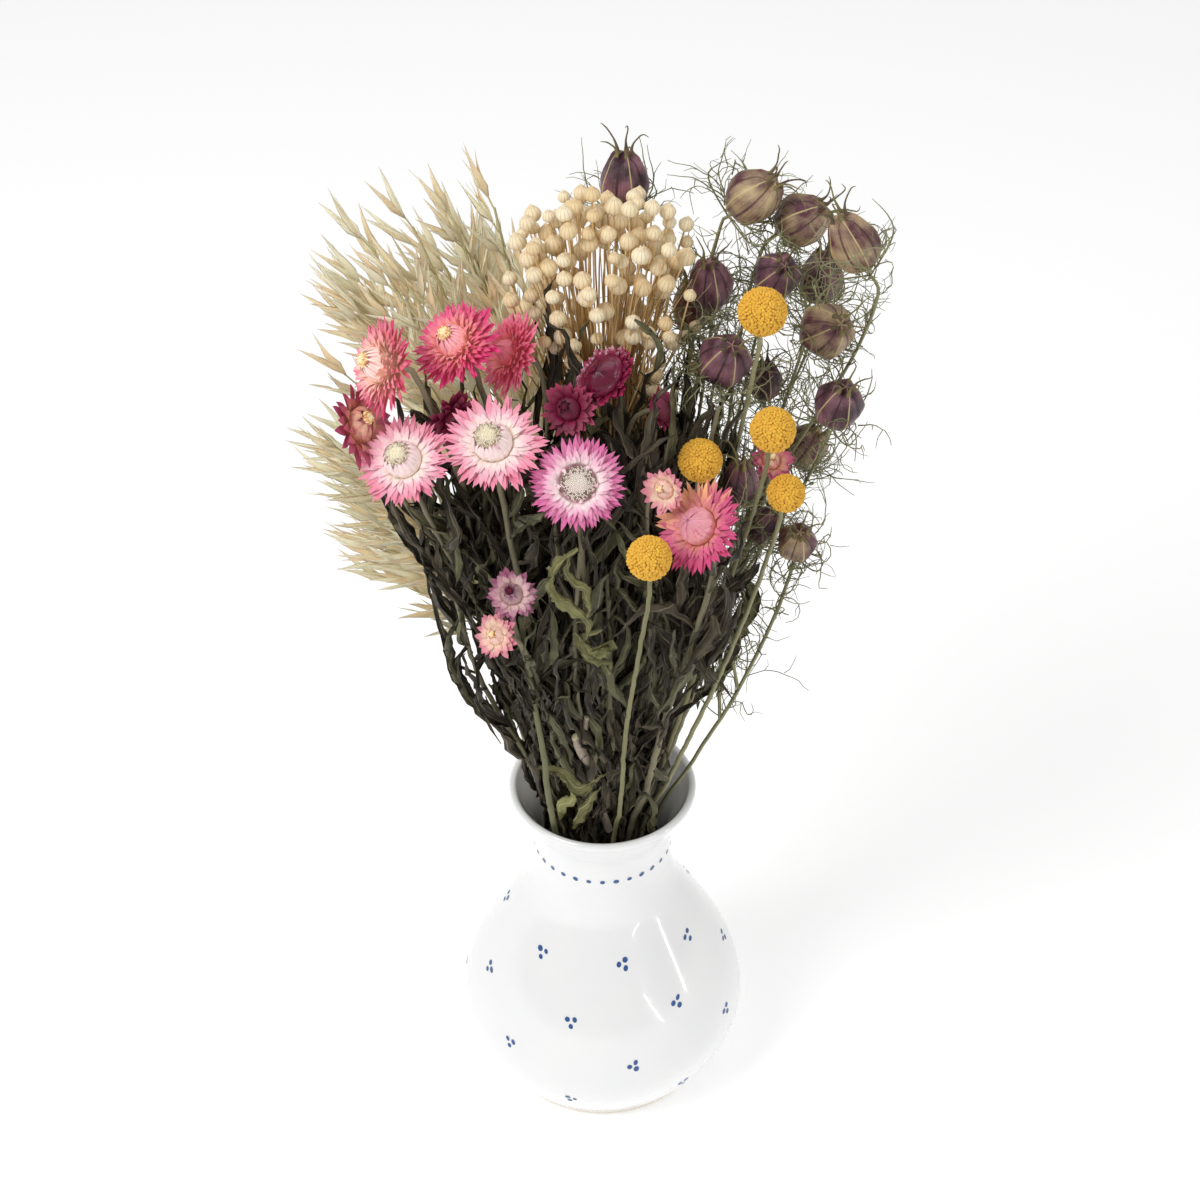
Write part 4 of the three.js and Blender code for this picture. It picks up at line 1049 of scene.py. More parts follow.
def button_skin():
    """Golden, with shade painted darker at the foot of each bud and on the core between them, and a brown
    speck here and there.
    """
    material, tree, shader, where = surface("golden_florets")
    up, tone = painted_value(tree, "up"), painted_value(tree, "tone")
    speck = noise(tree, where, 0.5, 2.0)
    # Painted shade and random tone: each bud is lighter towards its top and darker at its foot. The core has
    # no height of its own, so it takes the darkest colour, as if in shade.
    painted_shade_and_tone = (ramp(up, 0.1, 0.95) * 0.6 + speck * 0.5 + tone * 0.35 - 0.2).limited()
    skin = blend_colours(tree, painted_shade_and_tone, "#c2872a", "#f4c044")
    skin = blend_colours(tree, ramp(speck + tone * 0.25, 0.76, 0.9), skin, "#8a4f1c")
    dress(tree, shader, skin, 0.7 + speck * 0.25, speck, depth=0.12)
    return material


GOLDEN_FLORETS = button_skin()
for i, (at, azimuth, elevation, wide) in enumerate(BUTTONS):
    radius = wide / 2
    florets = round(4 * math.pi * radius**2 / FLORET_SPACING**2 * FLORET_CROWDING)
    ball = grow(
        button_tree(GOLDEN_FLORETS), point_mesh([(0, 0, 0)]), **{
            "Radius": radius, "Florets": florets, "Floret Size": FLORET_SPACING * FLORET_FULLNESS})
    standing = Matrix.Translation((0, 0, radius))
    place = Matrix.Translation(at) @ turned_up_to(direction(azimuth, elevation)) @ standing
    finish_piece(f"golden_button_{i + 1}", ball, place, [f"billy_button_{i + 1}"])

# The stems' routes
# Every stem stands on the vase's floor, leans on its neck and fans out to its flower. Side stems leave a
# leading one at a fork. Nothing ties them together: the neck alone holds the bouquet.
GAP = 0.3
NECK_Z = 146
NECK_ROOM = 26
MOUTH_ROOM = 28
MOUTH_TOP_Z = 200
FAN_APEX_Z = 78
STEM_FOOT_Z = 7.3
FOOT_SPREAD = 0.9
STEM_BEND = 7
APPROACH_BACK = 12
APPROACH_DROP = Vector((0, 0, -8))
NECK_BACK = 4
SOCKET_DEPTH = 2
STOUT_STEM = 1.17
RIM_SPOKES = 9
SPOKE_REACH = 0.42
SPOKE_RADIUS = 0.13
RODS_AT_MOST = 9000
SHORTEST_ROD = 1e-8
PARALLEL = 1e-9


def aside(a, b):
    """A repeatable step sideways, of up to a half each way."""
    return Vector((swing(a, b), swing(a, b + 1), 0))


def on_fan(fan, z):
    """Where a line of the fan is at a height. All its lines meet in one point inside the vase."""
    return Vector((fan[0] * (z - FAN_APEX_Z), fan[1] * (z - FAN_APEX_Z), z))


def fan_of(p):
    """The line of the fan that goes through a point."""
    return Vector((p.x, p.y)) / (p.z - FAN_APEX_Z)


def stem_foot(fan):
    """The lower end of a stem: from the vase's floor up through the neck, where it keeps inside the room."""
    neck = on_fan(fan, NECK_Z)
    keep_in = min(1, NECK_ROOM / math.hypot(neck.x, neck.y))
    neck.x *= keep_in
    neck.y *= keep_in
    return [Vector((neck.x * FOOT_SPREAD, neck.y * FOOT_SPREAD, STEM_FOOT_Z)), neck]


def approach(head):
    """A stem's last points: it comes up from below and behind, and ends inside its head."""
    at, facing = head["at"], head["facing"]
    return [at - facing * APPROACH_BACK + APPROACH_DROP, at - facing * NECK_BACK, at + facing * SOCKET_DEPTH]


def leader_path(head):
    """A stem of its own: up the fan to its head, with a slight bend on the way."""
    end = approach(head)
    fan = fan_of(end[0])
    half = (MOUTH_TOP_Z + end[0].z) / 2
    rise = [on_fan(fan, MOUTH_TOP_Z), on_fan(fan, half) + aside(head["at"].x, 1) * STEM_BEND, *end[:2]]
    return [*stem_foot(fan), *smooth(rise, 4), end[2]]


def side_path(leader, head, fork):
    """A side stem: it leaves the leader's line at a height and goes over to its own head."""
    end = approach(head)
    fan = fan_of(approach(leader)[0])
    half = (fork + end[0].z) / 2
    middle = on_fan(fan, half).lerp(on_fan(fan_of(end[0]), half), 0.7)
    return [*smooth([point_at(leader_path(leader), fork), middle, *end[:2]], 4), end[2]]


def point_at(path, z):
    """The point of a rising path at a height."""
    i = next((i for i, p in enumerate(path) if i and p.z >= z), len(path) - 1)
    a, b = path[i - 1], path[i]
    return a.lerp(b, (z - a.z) / (b.z - a.z)) if b.z != a.z else a


class Thicket:
    """What already stands in the bouquet, as rods. What is placed later keeps clear of others' rods."""

    def __init__(self):
        self.starts, self.ends = np.zeros((RODS_AT_MOST, 3)), np.zeros((RODS_AT_MOST, 3))
        self.radii, self.owners = np.zeros(RODS_AT_MOST), np.zeros(RODS_AT_MOST, int)
        self.count = 0
        self.numbers = {}

    def number(self, owner):
        return self.numbers.setdefault(owner, len(self.numbers) + 1)

    def reserve(self, owner, points, radius):
        for a, b in zip(points, points[1:]):
            self.starts[self.count], self.ends[self.count] = a, b
            self.radii[self.count], self.owners[self.count] = radius, self.number(owner)
            self.count += 1

    def is_clear(self, owner, points, radius, among=None):
        """Whether a path keeps off what others own, among the first rods or all of them."""
        n = among or self.count
        return all(
            np.all((self.owners[:n] == self.number(owner)) |
                   (self.distances(a, b, n) > self.radii[:n] + radius + 2 * GAP))
            for a, b in zip(points, points[1:]))

    def distances(self, a, b, n):
        """How far the stretch from a to b is from each of the first n rods."""
        a, b = np.array(a), np.array(b)
        p, across = self.starts[:n], b - a
        spans, r = self.ends[:n] - p, a - p
        aa, ee = across @ across, np.einsum("ij,ij->i", spans, spans)
        f, c, ab = np.einsum("ij,ij->i", spans, r), r @ across, spans @ across
        is_rod = ee > SHORTEST_ROD
        safe_e, safe_a = np.where(is_rod, ee, 1), aa if aa > SHORTEST_ROD else 1
        flat = aa * ee - ab * ab
        s = np.where(flat > PARALLEL, (ab * f - c * ee) / np.where(flat > PARALLEL, flat, 1), 0).clip(0, 1)
        t = (ab * s + f) / safe_e
        s = np.where(t < 0, (-c / safe_a).clip(0, 1), np.where(t > 1, ((ab - c) / safe_a).clip(0, 1), s))
        s = np.where(is_rod, s, (-c / safe_a).clip(0, 1)) * (aa > SHORTEST_ROD)
        t = np.where(is_rod, t, 0).clip(0, 1)
        gap = (a + s[:, None] * across) - (p + t[:, None] * spans)
        return np.sqrt(np.einsum("ij,ij->i", gap, gap))


def place_of(head):
    """Where a head is and how it is turned."""
    return Matrix.Translation(head["at"]) @ turned_up_to(head["facing"])


# Rods hold each head's place free: spokes from its foot to its rim, or a pod's body and horns, or a ball.
thicket = Thicket()
heads = {}
for i, (key, (at, azimuth, elevation, spread, openness, *_)) in enumerate(STRAWFLOWERS.items()):
    head = {
        "name": f"strawflower_{i + 1}", "at": Vector(at), "facing": direction(azimuth, elevation),
        "stem": 0.9 + spread / 60}
    heads[key] = head
    rim, rise = spread * SPOKE_REACH, spread * 0.5 * (0.7 - 0.6 * openness)
    for k in range(RIM_SPOKES):
        a = 2 * math.pi * k / RIM_SPOKES
        spoke = [Vector((0, 0, 4)), Vector((rim * math.cos(a), rim * math.sin(a), rise + 2))]
        thicket.reserve(head["name"], [place_of(head) @ p for p in spoke], spread * SPOKE_RADIUS)
for i, (key, (at, azimuth, elevation, wide, tall)) in enumerate(PODS.items()):
    head = {
        "name": f"nigella_pod_{i + 1}", "at": Vector(at), "facing": direction(azimuth, elevation), "stem": 1,
        "wide": wide, "tall": tall}
    heads[key] = head
    for low, high, radius in ((wide / 2, tall - wide * 0.35, wide / 2), (tall * 0.7, tall + 6, wide * 0.375)):
        core = [place_of(head) @ Vector((0, 0, z)) for z in (low, high)]
        thicket.reserve(head["name"], core, radius)
for i, (at, azimuth, elevation, wide) in enumerate(BUTTONS):
    head = {
        "name": f"billy_button_{i + 1}", "at": Vector(at), "facing": direction(azimuth, elevation), "stem": 1}
    heads[head["name"]] = head
    core = [place_of(head) @ Vector((0, 0, wide * z)) for z in (0.45, 0.55)]
    thicket.reserve(head["name"], core, wide / 2)
head_rods = thicket.count

# The leading head of each spray, its side heads with the height where each forks off, and its big leaves.
FLOWER_SPRAYS = [
    ("coralLeft", [("dustyEdge", 290), ("paleLeft", 262)], 12),
    ("coralMiddle", [("coralRight", 270), ("darkBehind", 310)], 12),
    ("paleMiddle", [("paleSmall", 228), ("tinyLow", 240)], 12),
    ("brightFront", [], 12),
    ("glossyBud", [("darkSmall", 300), ("darkBud", 320)], 12),
    ("pinkRight", [("pinkBud", 290)], 12),
    ("dustyBud", [], 4),
]
POD_SPRAYS = [
    ("tanTop", [("brownBack", 290), ("backTop", 260)]),
    ("starTop", [("dented", 330), ("darkBack", 290), ("narrow", 300)]),
    ("starRight", [("rightUpright", 270), ("inMist", 250), ("tanRight", 320)]),
    ("crinkled", [("darkUpright", 300)]),
    ("lowRight", [("leaning", 230), ("bottle", 250)]),
]


def lay_out(prefix, sprays):
    """Each spray's name, its heads and their stems' paths."""
    laid = []
    for i, (leader, sides, *_) in enumerate(sprays):
        members = [heads[leader], *(heads[side] for side, _ in sides)]
        paths = [leader_path(members[0])]
        paths += [side_path(members[0], head, fork) for head, (_, fork) in zip(members[1:], sides)]
        name = f"{prefix}_{i + 1}"
        for head, path in zip(members, paths):
            thicket.reserve(name, path, head["stem"])
        laid.append((name, members, paths))
    return laid


flower_sprays = lay_out("strawflower_stem", FLOWER_SPRAYS)
pod_sprays = lay_out("nigella_stem", POD_SPRAYS)
button_paths = [leader_path(heads[f"billy_button_{i + 1}"]) for i in range(len(BUTTONS))]
for i, path in enumerate(button_paths):
    thicket.reserve(f"billy_button_{i + 1}_stem", path, 1)

# Each straw's line in the fan and the place of its tip.
OAT_BUNCHES = [
    [((-0.1, 0.125), (-46, 52, 466)), ((-0.135, 0.12), (-63, 47, 462)), ((-0.175, 0.11), (-80, 40, 464))],
    [((-0.21, 0.085), (-98, 34, 458)), ((-0.235, 0.06), (-104, 24, 436)), ((-0.165, 0.06), (-72, 22, 446))],
    [((-0.27, 0.035), (-106, 14, 402)), ((-0.29, 0.02), (-110, 8, 362)), ((-0.275, 0.01), (-90, 6, 326))],
]
STRAW_RADIUS = 1.2


def straw_path(fan, tip, foot):
    """A straw that leaves its line in the fan where it starts to arch over."""
    high = MOUTH_TOP_Z + 0.72 * (tip[2] - MOUTH_TOP_Z)
    rise = [on_fan(fan, MOUTH_TOP_Z), on_fan(fan, high), Vector(tip)]
    return [foot, stem_foot(fan)[1], *smooth(rise, 4)]


oat_straws = []
for i, straws in enumerate(OAT_BUNCHES):
    foot = stem_foot(straws[1][0])[0]
    oat_straws.append([straw_path(fan, tip, foot) for fan, tip in straws])
    for path in oat_straws[-1]:
        thicket.reserve(f"oats_{i + 1}", path, STRAW_RADIUS)

# The flax bunch
# Some hundred and fifty golden stalks stand packed in one bundle and fan out to a dome of round cream seed
# pods, each with fine meridian ridges and a short point. The thread-thin side stalks are as dry as straw.
FLAX_FAN = Vector((0.005, 0.052))
FLAX_WIDE = 0.066
FLAX_DEEP = 0.045
BUNDLE_TOP = 395
FLAX_PODS = 52
FLAX_POD_RADIUS = 4
FLAX_POD_POINT = 0.32
FLAX_BOW = 7
FLAX_SWAY = 5
FLAX_TWIG_SPREAD = 9
DOME_MIDDLE = (1, 22, 486)
DOME_WIDE = 37
DOME_DEEP = 24
DOME_DROP = 14
DOME_FRONT_DROP = 12
POD_DROP_PLAY = 40
POD_FORK_SHARE = 0.38
POD_FORK_BELOW = 8
SMALL_PODS = 112
SMALL_POD_WIDE = 42
SMALL_POD_BACK = 38
SMALL_POD_RISE = 7
SMALL_DOME_DROP = 26
SMALL_DROP_PLAY = 66
SMALL_FORK_SHARE = 0.4
SMALL_FORK_BELOW = 30
SMALL_POD_RADIUS = 2.7
SMALL_RADIUS_PLAY = 1.2
BUNDLE_STALKS = 170
BUNDLE_LOW = 300
BUNDLE_HIGH = 380
BUNDLE_TOP_PLAY = 42

bundle_heights = [NECK_Z, MOUTH_TOP_Z, 320, BUNDLE_TOP]
for low, high in zip(bundle_heights, bundle_heights[1:]):
    thicket.reserve(
        "flax_bunch", [on_fan(FLAX_FAN, low), on_fan(FLAX_FAN, high)], FLAX_WIDE * (high - FAN_APEX_Z) * 0.85)


def flax_pods():
    """Where the big pods of the dome are, each with the place where its stalk leaves the bundle."""
    found = []
    for k in range(FLAX_PODS):
        share, a = math.sqrt((k + 0.5) / FLAX_PODS), k * GOLDEN_ANGLE
        drop = DOME_DROP * share**2 + POD_DROP_PLAY * draw(k, 21) * share
        x = DOME_MIDDLE[0] + DOME_WIDE * share * math.cos(a)
        y = DOME_MIDDLE[1] + DOME_DEEP * share * math.sin(a)
        pod = Vector((x, y, DOME_MIDDLE[2] - drop - DOME_FRONT_DROP * max(0, -math.sin(a)) * share))
        root = on_fan(FLAX_FAN.lerp(fan_of(pod), POD_FORK_SHARE), BUNDLE_TOP - POD_FORK_BELOW)
        if not thicket.is_clear("flax_bunch", [root, pod], FLAX_POD_RADIUS):
            continue
        if not thicket.is_clear("", [pod, pod], FLAX_POD_RADIUS * 0.8):
            continue
        thicket.reserve("flax_bunch", [root, pod], 0.55)
        thicket.reserve("flax_bunch", [pod, pod], FLAX_POD_RADIUS)
        found.append((root, pod, FLAX_POD_RADIUS))
    return found


def small_flax_pods():
    """Smaller pods, lower and between the big ones."""
    found = []
    for k in range(SMALL_PODS * 4):
        if len(found) == SMALL_PODS:
            break
        share, a = math.sqrt(draw(k, 31)), k * GOLDEN_ANGLE
        deep = SMALL_POD_BACK if math.sin(a) > 0 else DOME_DEEP
        x = DOME_MIDDLE[0] + SMALL_POD_WIDE * share * math.cos(a)
        y = DOME_MIDDLE[1] + deep * share * math.sin(a)
        drop = SMALL_DOME_DROP * share**2 + SMALL_DROP_PLAY * draw(k, 32) ** 1.5
        pod = Vector((x, y - 4, DOME_MIDDLE[2] + SMALL_POD_RISE - drop))
        root = on_fan(FLAX_FAN.lerp(fan_of(pod), SMALL_FORK_SHARE), BUNDLE_TOP - SMALL_FORK_BELOW)
        radius = SMALL_POD_RADIUS + SMALL_RADIUS_PLAY * draw(k, 33)
        if thicket.is_clear("", [pod, pod], radius * 0.55):
            thicket.reserve("flax_bunch", [pod, pod], radius)
            found.append((root, pod, radius))
    return found


def sprig_tree(
        name, stalk_skin, blade_skin, sides=6, step=3.0, wobble=0.4, blade_step=3.5, cup=0.45, crumple=1.2,
        blade_sides=8):
    """Stalks, and thin curled blades where a point's mark is 1. Both follow the given paths."""
    tree, given = growth(name, "Blade Thickness")
    is_blade = named(tree, "blade").step(0.5)
    parted = add_node(tree, "GeometryNodeSeparateGeometry", Geometry=given["Mesh"], Selection=is_blade)
    leaves, stems = Field(tree, parted.outputs[0]), Field(tree, parted.outputs[1])
    tubes = stalks(tree, stems, sides, step, wobble, stalk_skin)

    # A blade is hollow across, as deep as its cup says, and twists as it goes.
    lines, along = smooth_lines(tree, leaves, blade_step)
    tone = named(tree, "tone")
    tilt = tone * 43.0 + (tone * 77.0).sin() * along * 2.4
    lines = add_node(tree, "GeometryNodeSetCurveTilt", Curve=lines, Tilt=tilt)
    section = add_node(tree, "GeometryNodeCurvePrimitiveCircle", Resolution=blade_sides, Radius=1.0)
    x, y, _ = position(tree)
    curled = vector(tree, x * (1.0 - x * x * (cup * 0.25)), y * given["Blade Thickness"] + x * x * cup, 0.0)
    section = add_node(
        tree, "GeometryNodeSetPosition", Geometry=keep(tree, section, "side", x), Position=curled)
    blades = add_node(
        tree, "GeometryNodeCurveToMesh", Curve=lines, Profile_Curve=section, Scale=named(tree, "girth"),
        Fill_Caps=True)
    blades = crumpled(tree, blades, 0.19, 3.0, (named(tree, "along") * 5.0).limited() * (crumple * 4.0))
    end_growth(tree, tubes, clad(tree, blades, blade_skin))
    return tree


class Sprig(Paths):
    """Paths of stalks and of blades."""

    def __init__(self):
        super().__init__()
        self.blade = []

    def add(self, path, girths, tone=0.5, blade=0):
        super().add(path, girths, tone)
        self.blade += [blade] * len(path)

    def mesh(self):
        return point_mesh(self.points, self.edges, girth=self.girth, tone=self.tone, blade=self.blade)


def flax_pod_tree(skin):
    """Ribbed balls with a short point, each turned the way that its stalk goes."""
    tree, given = growth("flax_pods", "Point Length")
    ball = add_node(tree, "GeometryNodeMeshUVSphere", Segments=22, Rings=8, Radius=1.0)
    x, y, z = position(tree)
    rib = (y.math("ARCTAN2", x) * 11.0).cos()
    swell = 1.0 + rib * 0.02 - ramp(z, 0.5, 1.0) * 0.05
    point = ramp(z, 0.9, 1.0) * given["Point Length"]
    ball = add_node(
        tree, "GeometryNodeSetPosition", Geometry=keep(tree, keep(tree, ball, "rib", rib), "up", z),
        Position=vector(tree, x * swell, y * swell, z * 0.94 + point))
    size = named(tree, "size")
    pods = copies_on(tree, given["Mesh"], ball, vector(tree, size, size, size))
    pods = keep(tree, pods, "tone", chance(tree, index_of(tree), 3.0), "INSTANCE")
    end_growth(tree, clad_copies(tree, pods, skin))
    return tree


def flax_pod_skin():
    """Cream to straw yellow, brown in the grooves and at the point."""
    material, tree, shader, where = surface("cream_pods")
    rib, up, tone = (painted_value(tree, n) for n in ("rib", "up", "tone"))
    cloud = noise(tree, where, 2.5, 4.0)
    skin = blend_colours(tree, (tone * 0.8 + cloud * 0.6 - 0.3).limited(), "#fcefce", "#e5c690")
    groove = (1.0 - ramp(rib, -1.0, -0.4)) * 0.45 + ramp(up, 0.75, 1.1) * 0.4
    skin = blend_colours(tree, groove.limited(), skin, "#b98d57")
    dress(tree, shader, skin, 0.55 + cloud * 0.2, ramp(rib, -1.0, 0.0) * 0.7 + cloud * 0.3, depth=0.2)
    return material


flax_heads = [*flax_pods(), *small_flax_pods()]
flax = Sprig()
for k, (root, pod, radius) in enumerate(flax_heads):
    foot, neck = stem_foot(fan_of(root))
    low = on_fan(fan_of(root), MOUTH_TOP_Z)
    bow = aside(k, 41) * FLAX_BOW
    path = [foot, neck, low, root, root.lerp(pod, 0.55) + bow, pod]
    flax.add(path, [0.5, 0.5, 0.5, 0.5, 0.42, 0.45], draw(k, 43))
    if k % 3 == 0:
        fork = root.lerp(pod, 0.5)
        tip = pod + aside(k, 44) * FLAX_TWIG_SPREAD - Vector((0, 0, 4 + 10 * draw(k, 46)))
        flax.add([fork, fork.lerp(tip, 0.5) + bow * 0.5, tip], [0.4, 0.35, 0.7, 0.12], draw(k, 47))
for k in range(BUNDLE_STALKS):
    share, a = math.sqrt((k + 0.5) / BUNDLE_STALKS) * 0.98, k * GOLDEN_ANGLE
    fan = FLAX_FAN + Vector((FLAX_WIDE * share * math.cos(a), FLAX_DEEP * share * math.sin(a)))
    top = BUNDLE_TOP + BUNDLE_TOP_PLAY * draw(k, 48)
    foot, neck = stem_foot(fan)
    sway = aside(k, 49) * FLAX_SWAY
    path = [
        foot, neck, on_fan(fan, MOUTH_TOP_Z), on_fan(fan, BUNDLE_LOW) + sway * 0.5, on_fan(fan, BUNDLE_HIGH),
        on_fan(fan, top) + sway]
    flax.add(path, [0.55, 0.6, 0.6, 0.55, 0.5, 0.2], draw(k, 51))
GOLDEN_STRAW = twig_skin("golden_straw", "#f0d6a2", "#cfa25e", 0.9)
flax_stalks = grow(sprig_tree("flax_stalks", GOLDEN_STRAW, GOLDEN_STRAW, sides=3, step=25.0), flax.mesh())
finish_piece("flax_stalks", flax_stalks, Matrix(), ["flax_bunch"])
flax_points = point_mesh(
    [pod for _, pod, _ in flax_heads],
    facing=[tuple((pod - root).normalized()) for root, pod, _ in flax_heads],
    size=[radius for *_, radius in flax_heads])
flax_balls = grow(flax_pod_tree(flax_pod_skin()), flax_points, **{"Point Length": FLAX_POD_POINT})
finish_piece("flax_pods", flax_balls, Matrix(), [])

# The oats
# Dried oats with arching straws. Each spikelet hangs on a thread-thin twig and splits into long, papery,
# boat-shaped husks with fine parallel veins, straw-coloured to grey-green.
SPIKELET_LENGTH = 25
SPIKELET_WIDTH = 4.2
SPIKELET_STALK = 9
SPIKELETS_PER_STRAW = 7
PANICLE_SPANS = 2.2
EXTRA_STRAWS = 17
INNER_EXTRA_STRAWS = 8
EXTRA_TIP_PLAY = 12
EXTRA_TIP_DROP = 6
EXTRA_DROP_PLAY = 34
INNER_STRAWS = [
    ((-0.09, 0.1), (-30, 46, 452)), ((-0.12, 0.08), (-44, 34, 432)), ((-0.1, 0.06), (-34, 28, 416)),
]
STRAW_GIRTHS = [1.15, 1.1, 0.9, 0.6]
EXTRA_STRAW_GIRTHS = [0.9, 0.9, 0.8, 0.5]
HUSK_GIRTHS = [0.25, 0.9, 1.0, 0.75, 0.4]
HUSK_TIP = 0.08
HUSK_THICKNESS = 0.14
# How far each husk of a spikelet goes to the side and to the back, and its length.
HUSK_PLACES = [(1, 0.2, 1), (-1, -0.2, 0.96), (0.35, 0.8, 0.8), (-0.4, -0.7, 0.74)]
BOX_MARGIN = 0.8


def spikelet(owner, root, facing, spread, crowd):
    """Its root, the way it points and the way it splits, where there is room for it."""
    length = SPIKELET_STALK + SPIKELET_LENGTH
    ends = [root, root + facing * length]
    room, among = (SPIKELET_WIDTH * 0.5, head_rods) if crowd else (SPIKELET_WIDTH, None)
    if not thicket.is_clear(owner, ends, room, among):
        return []
    if not crowd:
        thicket.reserve(owner, ends, SPIKELET_WIDTH * 0.8)
    return [(root, facing, spread)]


def straw_spikelets(owner, path, seed, crowd=False):
    """The spikelets along the last part of a straw, by turns on every side of it."""
    found = []
    last = len(path) - 1
    for k in range(SPIKELETS_PER_STRAW):
        spot = last - PANICLE_SPANS * (k + 0.13) / SPIKELETS_PER_STRAW
        i = min(int(spot), last - 1)
        root = path[i].lerp(path[i + 1], spot - i)
        along = (path[i + 1] - path[i]).normalized()
        turn = k * GOLDEN_ANGLE / 2 + 6 * draw(seed, k)
        side = Vector((math.cos(turn), math.sin(turn), 0.3 * math.sin(turn * 2)))
        outward = Vector((root.x, 0.3 * root.y, 0)).normalized()
        facing = (along * 0.9 + side * (0.6 if k else 0) + outward * 0.25).normalized()
        found += spikelet(owner, root, facing, side.cross(facing).normalized(), crowd)
    return found


box_low = Vector(cad_box[0]) / MM + Vector((BOX_MARGIN, BOX_MARGIN, 0))
box_high = Vector(cad_box[1]) / MM - Vector((BOX_MARGIN, BOX_MARGIN, BOX_MARGIN))


def kept_in_box(path):
    """Shrinks a path towards its root until it is inside the bouquet's own reach."""
    root, size = path[0], 1.0
    for p in path[1:]:
        for k in range(3):
            if p[k] > box_high[k]:
                size = min(size, max(0.1, (box_high[k] - root[k]) / (p[k] - root[k])))
            if p[k] < box_low[k]:
                size = min(size, max(0.1, (box_low[k] - root[k]) / (p[k] - root[k])))
    return [root + (p - root) * size for p in path]


def husks(sprig, root, facing, spread, seed):
    """A spikelet's twig, its two long husks and the shorter ones between them."""
    depth = facing.cross(spread).normalized()
    start = root + facing * SPIKELET_STALK * 0.75
    sprig.add([root, root.lerp(start, 0.5) + depth * 0.6, start], [0.35, 0.25, 0.4], draw(seed, 1))
    for j, (side, deep, reach) in enumerate(HUSK_PLACES):
        length = SPIKELET_LENGTH * reach * (0.92 + 0.16 * draw(seed, 2 + j))
        bow = spread * side + depth * deep
        path = [
            start, start + facing * length * 0.2 + bow * 0.9, start + facing * length * 0.55 + bow * 2.0,
            start + facing * length + bow * (3.4 + 2.2 * draw(seed, 7 + j)),
        ]
        half = SPIKELET_WIDTH * 0.5 * (0.8 if j > 1 else 1.1)
        girths = [*(half * girth for girth in HUSK_GIRTHS), HUSK_TIP]
        sprig.add(kept_in_box(path), girths, draw(seed, 12 + j), blade=1)


def husk_skin():
    """Straw-coloured to grey-green, some warmer, darker at the foot and pale at the tip and the veins."""
    material, tree, shader, where = surface("oat_husks")
    along, side, tone = (painted_value(tree, n) for n in ("along", "side", "tone"))
    cloud = noise(tree, where, 8)
    veins = (side * 15.0).sin() * 0.5 + 0.5
    skin = blend_colours(tree, (cloud * 1.1 + tone * 0.7 - 0.4).limited(), "#f3ecd0", "#c4c8a4")
    warm = (ramp(tone, 0.45, 0.8) * (0.35 + cloud * 0.7)).limited()
    skin = blend_colours(tree, warm, skin, "#e9c799")
    skin = blend_colours(tree, (1.0 - ramp(along, 0.0, 0.45)) * 0.6, skin, "#a3936a")
    tipped = (ramp(along, 0.55, 1.0) * 0.45 + veins * 0.22).limited()
    skin = blend_colours(tree, tipped, skin, "#f8ead0")
    dress(tree, shader, skin, 0.5 + veins * 0.15, veins, depth=0.1)
    # A painted glow, in place of the light that comes through the thin husks.
    painted_glow(tree, shader, skin, 0.18)
    return material


HUSK_SKIN = husk_skin()
OAT_STRAW = twig_skin("oat_straw", "#d6cda2", "#aeaa7c")
oat_spikelets = []
for i, paths in enumerate(oat_straws):
    found = []
    for k, path in enumerate(paths):
        found += straw_spikelets(f"oats_{i + 1}", path, 10 * i + k + 40)
    oat_spikelets.append(found)
for i, (paths, straws) in enumerate(zip(oat_straws, OAT_BUNCHES)):
    oats = Sprig()
    for path in paths:
        oats.add(path, STRAW_GIRTHS)
    found = list(oat_spikelets[i])
    if i == 0:
        straws = [*straws, *INNER_STRAWS]
    for k in range(EXTRA_STRAWS + (INNER_EXTRA_STRAWS if i == 0 else 0)):
        n = len(straws)
        (fan_a, tip_a), (fan_b, tip_b) = straws[k % n], straws[(k + 1) % n]
        share = 0.25 + 0.5 * draw(i, 60 + k)
        fan = Vector(fan_a).lerp(Vector(fan_b), share) * (0.86 + 0.16 * draw(i, 70 + k))
        tip = Vector(tip_a).lerp(Vector(tip_b), share) + Vector((
            EXTRA_TIP_PLAY * (draw(i, 80 + k) - 0.4), EXTRA_TIP_PLAY * (draw(i, 90 + k) - 0.6),
            -EXTRA_TIP_DROP - EXTRA_DROP_PLAY * draw(i, 100 + k)))
        path = straw_path(fan, tip, stem_foot(fan)[0])
        oats.add(path, EXTRA_STRAW_GIRTHS, draw(i, 110 + k))
        found += straw_spikelets(f"oats_{i + 1}", path, 400 + 10 * i + k, crowd=True)
    for k, (root, facing, spread) in enumerate(found):
        husks(oats, root, facing, spread, 1000 * (i + 1) + k)
    tree = sprig_tree(
        f"oats_{i + 1}", OAT_STRAW, HUSK_SKIN, sides=5, step=6.0, blade_step=5.2, cup=0.55, crumple=0.25,
        blade_sides=6)
    finish_piece(
        f"oat_bunch_{i + 1}", grow(tree, oats.mesh(), **{"Blade Thickness": HUSK_THICKNESS}), Matrix(),
        [f"oats_{i + 1}"])

